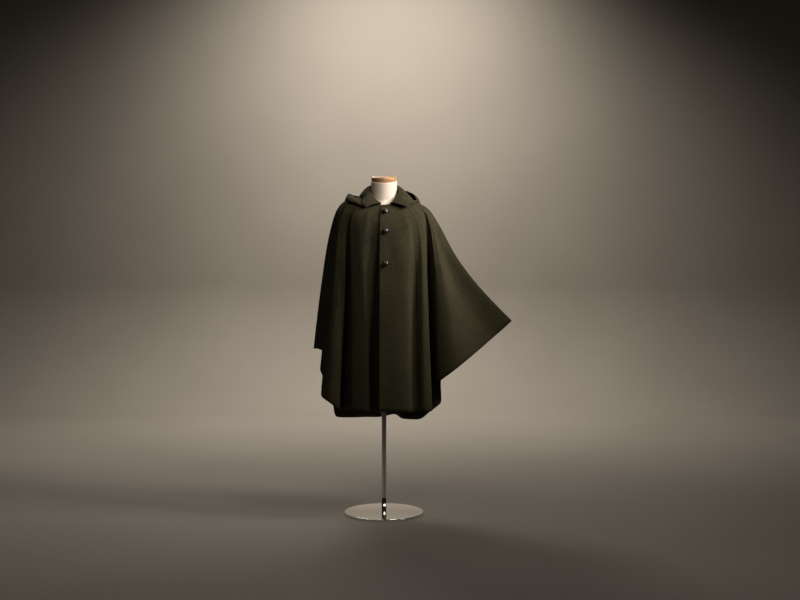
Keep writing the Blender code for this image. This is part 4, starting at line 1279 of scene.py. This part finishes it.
class CAPE_OT_collar(bpy.types.Operator):
    """Make the collar's fall and stand"""
    bl_idname = "cape.collar"
    bl_label = "Collar"

    def execute(self, context):
        collar_pieces(*cloth_looks(context.scene.cape_cloth))
        return {"FINISHED"}


class CAPE_OT_hood(bpy.types.Operator):
    """Make the hood's two halves, lying open on the back"""
    bl_idname = "cape.hood"
    bl_label = "Hood"

    def execute(self, context):
        hood_pieces(*cloth_looks(context.scene.cape_cloth))
        return {"FINISHED"}


class CAPE_OT_welts(bpy.types.Operator):
    """Make the welts beside the two arm slits"""
    bl_idname = "cape.welts"
    bl_label = "Arm slit welts"

    def execute(self, context):
        looks = cloth_looks(context.scene.cape_cloth)
        for panel in PANELS:
            if panel.welt:
                welt_piece(panel, *looks)
        return {"FINISHED"}


class CAPE_OT_buttons(bpy.types.Operator):
    """Make the plaited buttons and the worked buttonholes, with painted shade in their slots"""
    bl_idname = "cape.buttons"
    bl_label = "Buttons and buttonholes"

    def execute(self, context):
        trim = context.scene.cape_trim
        leather, shadow = leather_look(trim), slot_shadow_look()
        thread = cloth_looks(context.scene.cape_cloth)[1]
        for number, (u, v) in enumerate(BUTTON_PLACES, start=1):
            button_piece(number, u, v, leather, trim)
        for number, (u, v, shift) in enumerate(HOLES, start=1):
            buttonhole_cord(f"buttonhole_{number}", u, v, shift, thread)
            # painted shade: a dark strip laid in the slot
            painted_buttonhole_shadow(f"buttonhole_slot_{number}", u, v, shift, shadow)
        return {"FINISHED"}


class CAPE_OT_stand(bpy.types.Operator):
    """Make the dress form, its wooden cap, the pole and the base"""
    bl_idname = "cape.stand"
    bl_label = "Dress form and stand"

    def execute(self, context):
        settings = context.scene.cape_stand
        form_piece(jersey_look(settings))
        sides = settings.round_sides
        cap = rounded_outline(CAP_RADIUS, CAP_THICK, CAP_ROUND, CAP_ROUND)
        turned_piece("beech_cap", cap, sides, beech_look(settings), ("neck_cap",), tilted_cap)
        chrome = chrome_look()
        foot, head = BASE_THICK + CONTACT_GAP, FORM[0].z - CONTACT_GAP
        levels = foot + (head - foot) * np.arange(POLE_STEPS + 1) / POLE_STEPS
        pole = [(POLE_HUB, foot)] + [(POLE_RADIUS, level) for level in levels] + [(POLE_HUB, head)]
        turned_piece("chrome_pole", pole, sides // 2, chrome, ("pole",))
        base = rounded_outline(BASE_RADIUS, BASE_THICK, BASE_UNDER_ROUND, BASE_ROUND)
        turned_piece("chrome_base", base, sides, chrome, ("base_plate",))
        return {"FINISHED"}


class CAPE_OT_stage(bpy.types.Operator):
    """Make the floor, the wall behind, the lights and the camera"""
    bl_idname = "cape.stage"
    bl_label = "Studio"

    def execute(self, context):
        scene, stage = context.scene, context.scene.cape_stage
        backdrop(backdrop_look(stage))
        for box in SOFTBOXES:
            softbox(box, getattr(stage, box.power))
        world = bpy.data.worlds.new("Studio air")
        world.use_nodes = True
        air = world.node_tree.nodes["Background"]
        air.inputs["Color"].default_value = AIR_COLOUR
        air.inputs["Strength"].default_value = AIR_STRENGTH
        scene.world = world
        scene.view_settings.view_transform = "Standard"
        camera = bpy.data.cameras.new("Camera")
        camera.lens, camera.sensor_width = CAMERA_LENS, CAMERA_SENSOR
        camera.clip_end = CAMERA_REACH
        viewer = bpy.data.objects.new("Camera", camera)
        viewer.location = CAMERA_PLACE
        viewer.rotation_euler = (math.radians(90), 0.0, 0.0)
        scene.collection.objects.link(viewer)
        scene.camera = viewer
        return {"FINISHED"}


class CAPE_PT_sidebar(bpy.types.Panel):
    """The pieces' operators and the settings they read"""
    bl_label = "Cape Coat"
    bl_space_type = "VIEW_3D"
    bl_region_type = "UI"
    bl_category = "Cape Coat"

    def draw(self, context):
        layout, scene = self.layout, context.scene
        for title, settings in (("Cloth", scene.cape_cloth), ("Buttons", scene.cape_trim),
                                ("Stand", scene.cape_stand), ("Studio", scene.cape_stage)):
            box = layout.box()
            box.label(text=title)
            for name in settings.__annotations__:
                box.prop(settings, name)
        for operator in OPERATORS:
            layout.operator(operator.bl_idname)


SETTINGS = {"cape_cloth": ClothSettings, "cape_trim": TrimSettings, "cape_stand": StandSettings,
            "cape_stage": StageSettings}
OPERATORS = (CAPE_OT_stage, CAPE_OT_panels, CAPE_OT_collar, CAPE_OT_hood, CAPE_OT_welts,
             CAPE_OT_buttons, CAPE_OT_stand)


def register():
    for kind in (*SETTINGS.values(), *OPERATORS, CAPE_PT_sidebar):
        bpy.utils.register_class(kind)
    for name, kind in SETTINGS.items():
        setattr(bpy.types.Scene, name, PointerProperty(type=kind))


def unregister():
    for name in SETTINGS:
        delattr(bpy.types.Scene, name)
    for kind in (CAPE_PT_sidebar, *reversed(OPERATORS), *reversed(SETTINGS.values())):
        bpy.utils.unregister_class(kind)


def main():
    register()
    bpy.ops.cape.stage()
    bpy.ops.cape.panels()
    bpy.ops.cape.collar()
    bpy.ops.cape.hood()
    bpy.ops.cape.welts()
    bpy.ops.cape.buttons()
    bpy.ops.cape.stand()


if __name__ == "__main__":
    main()
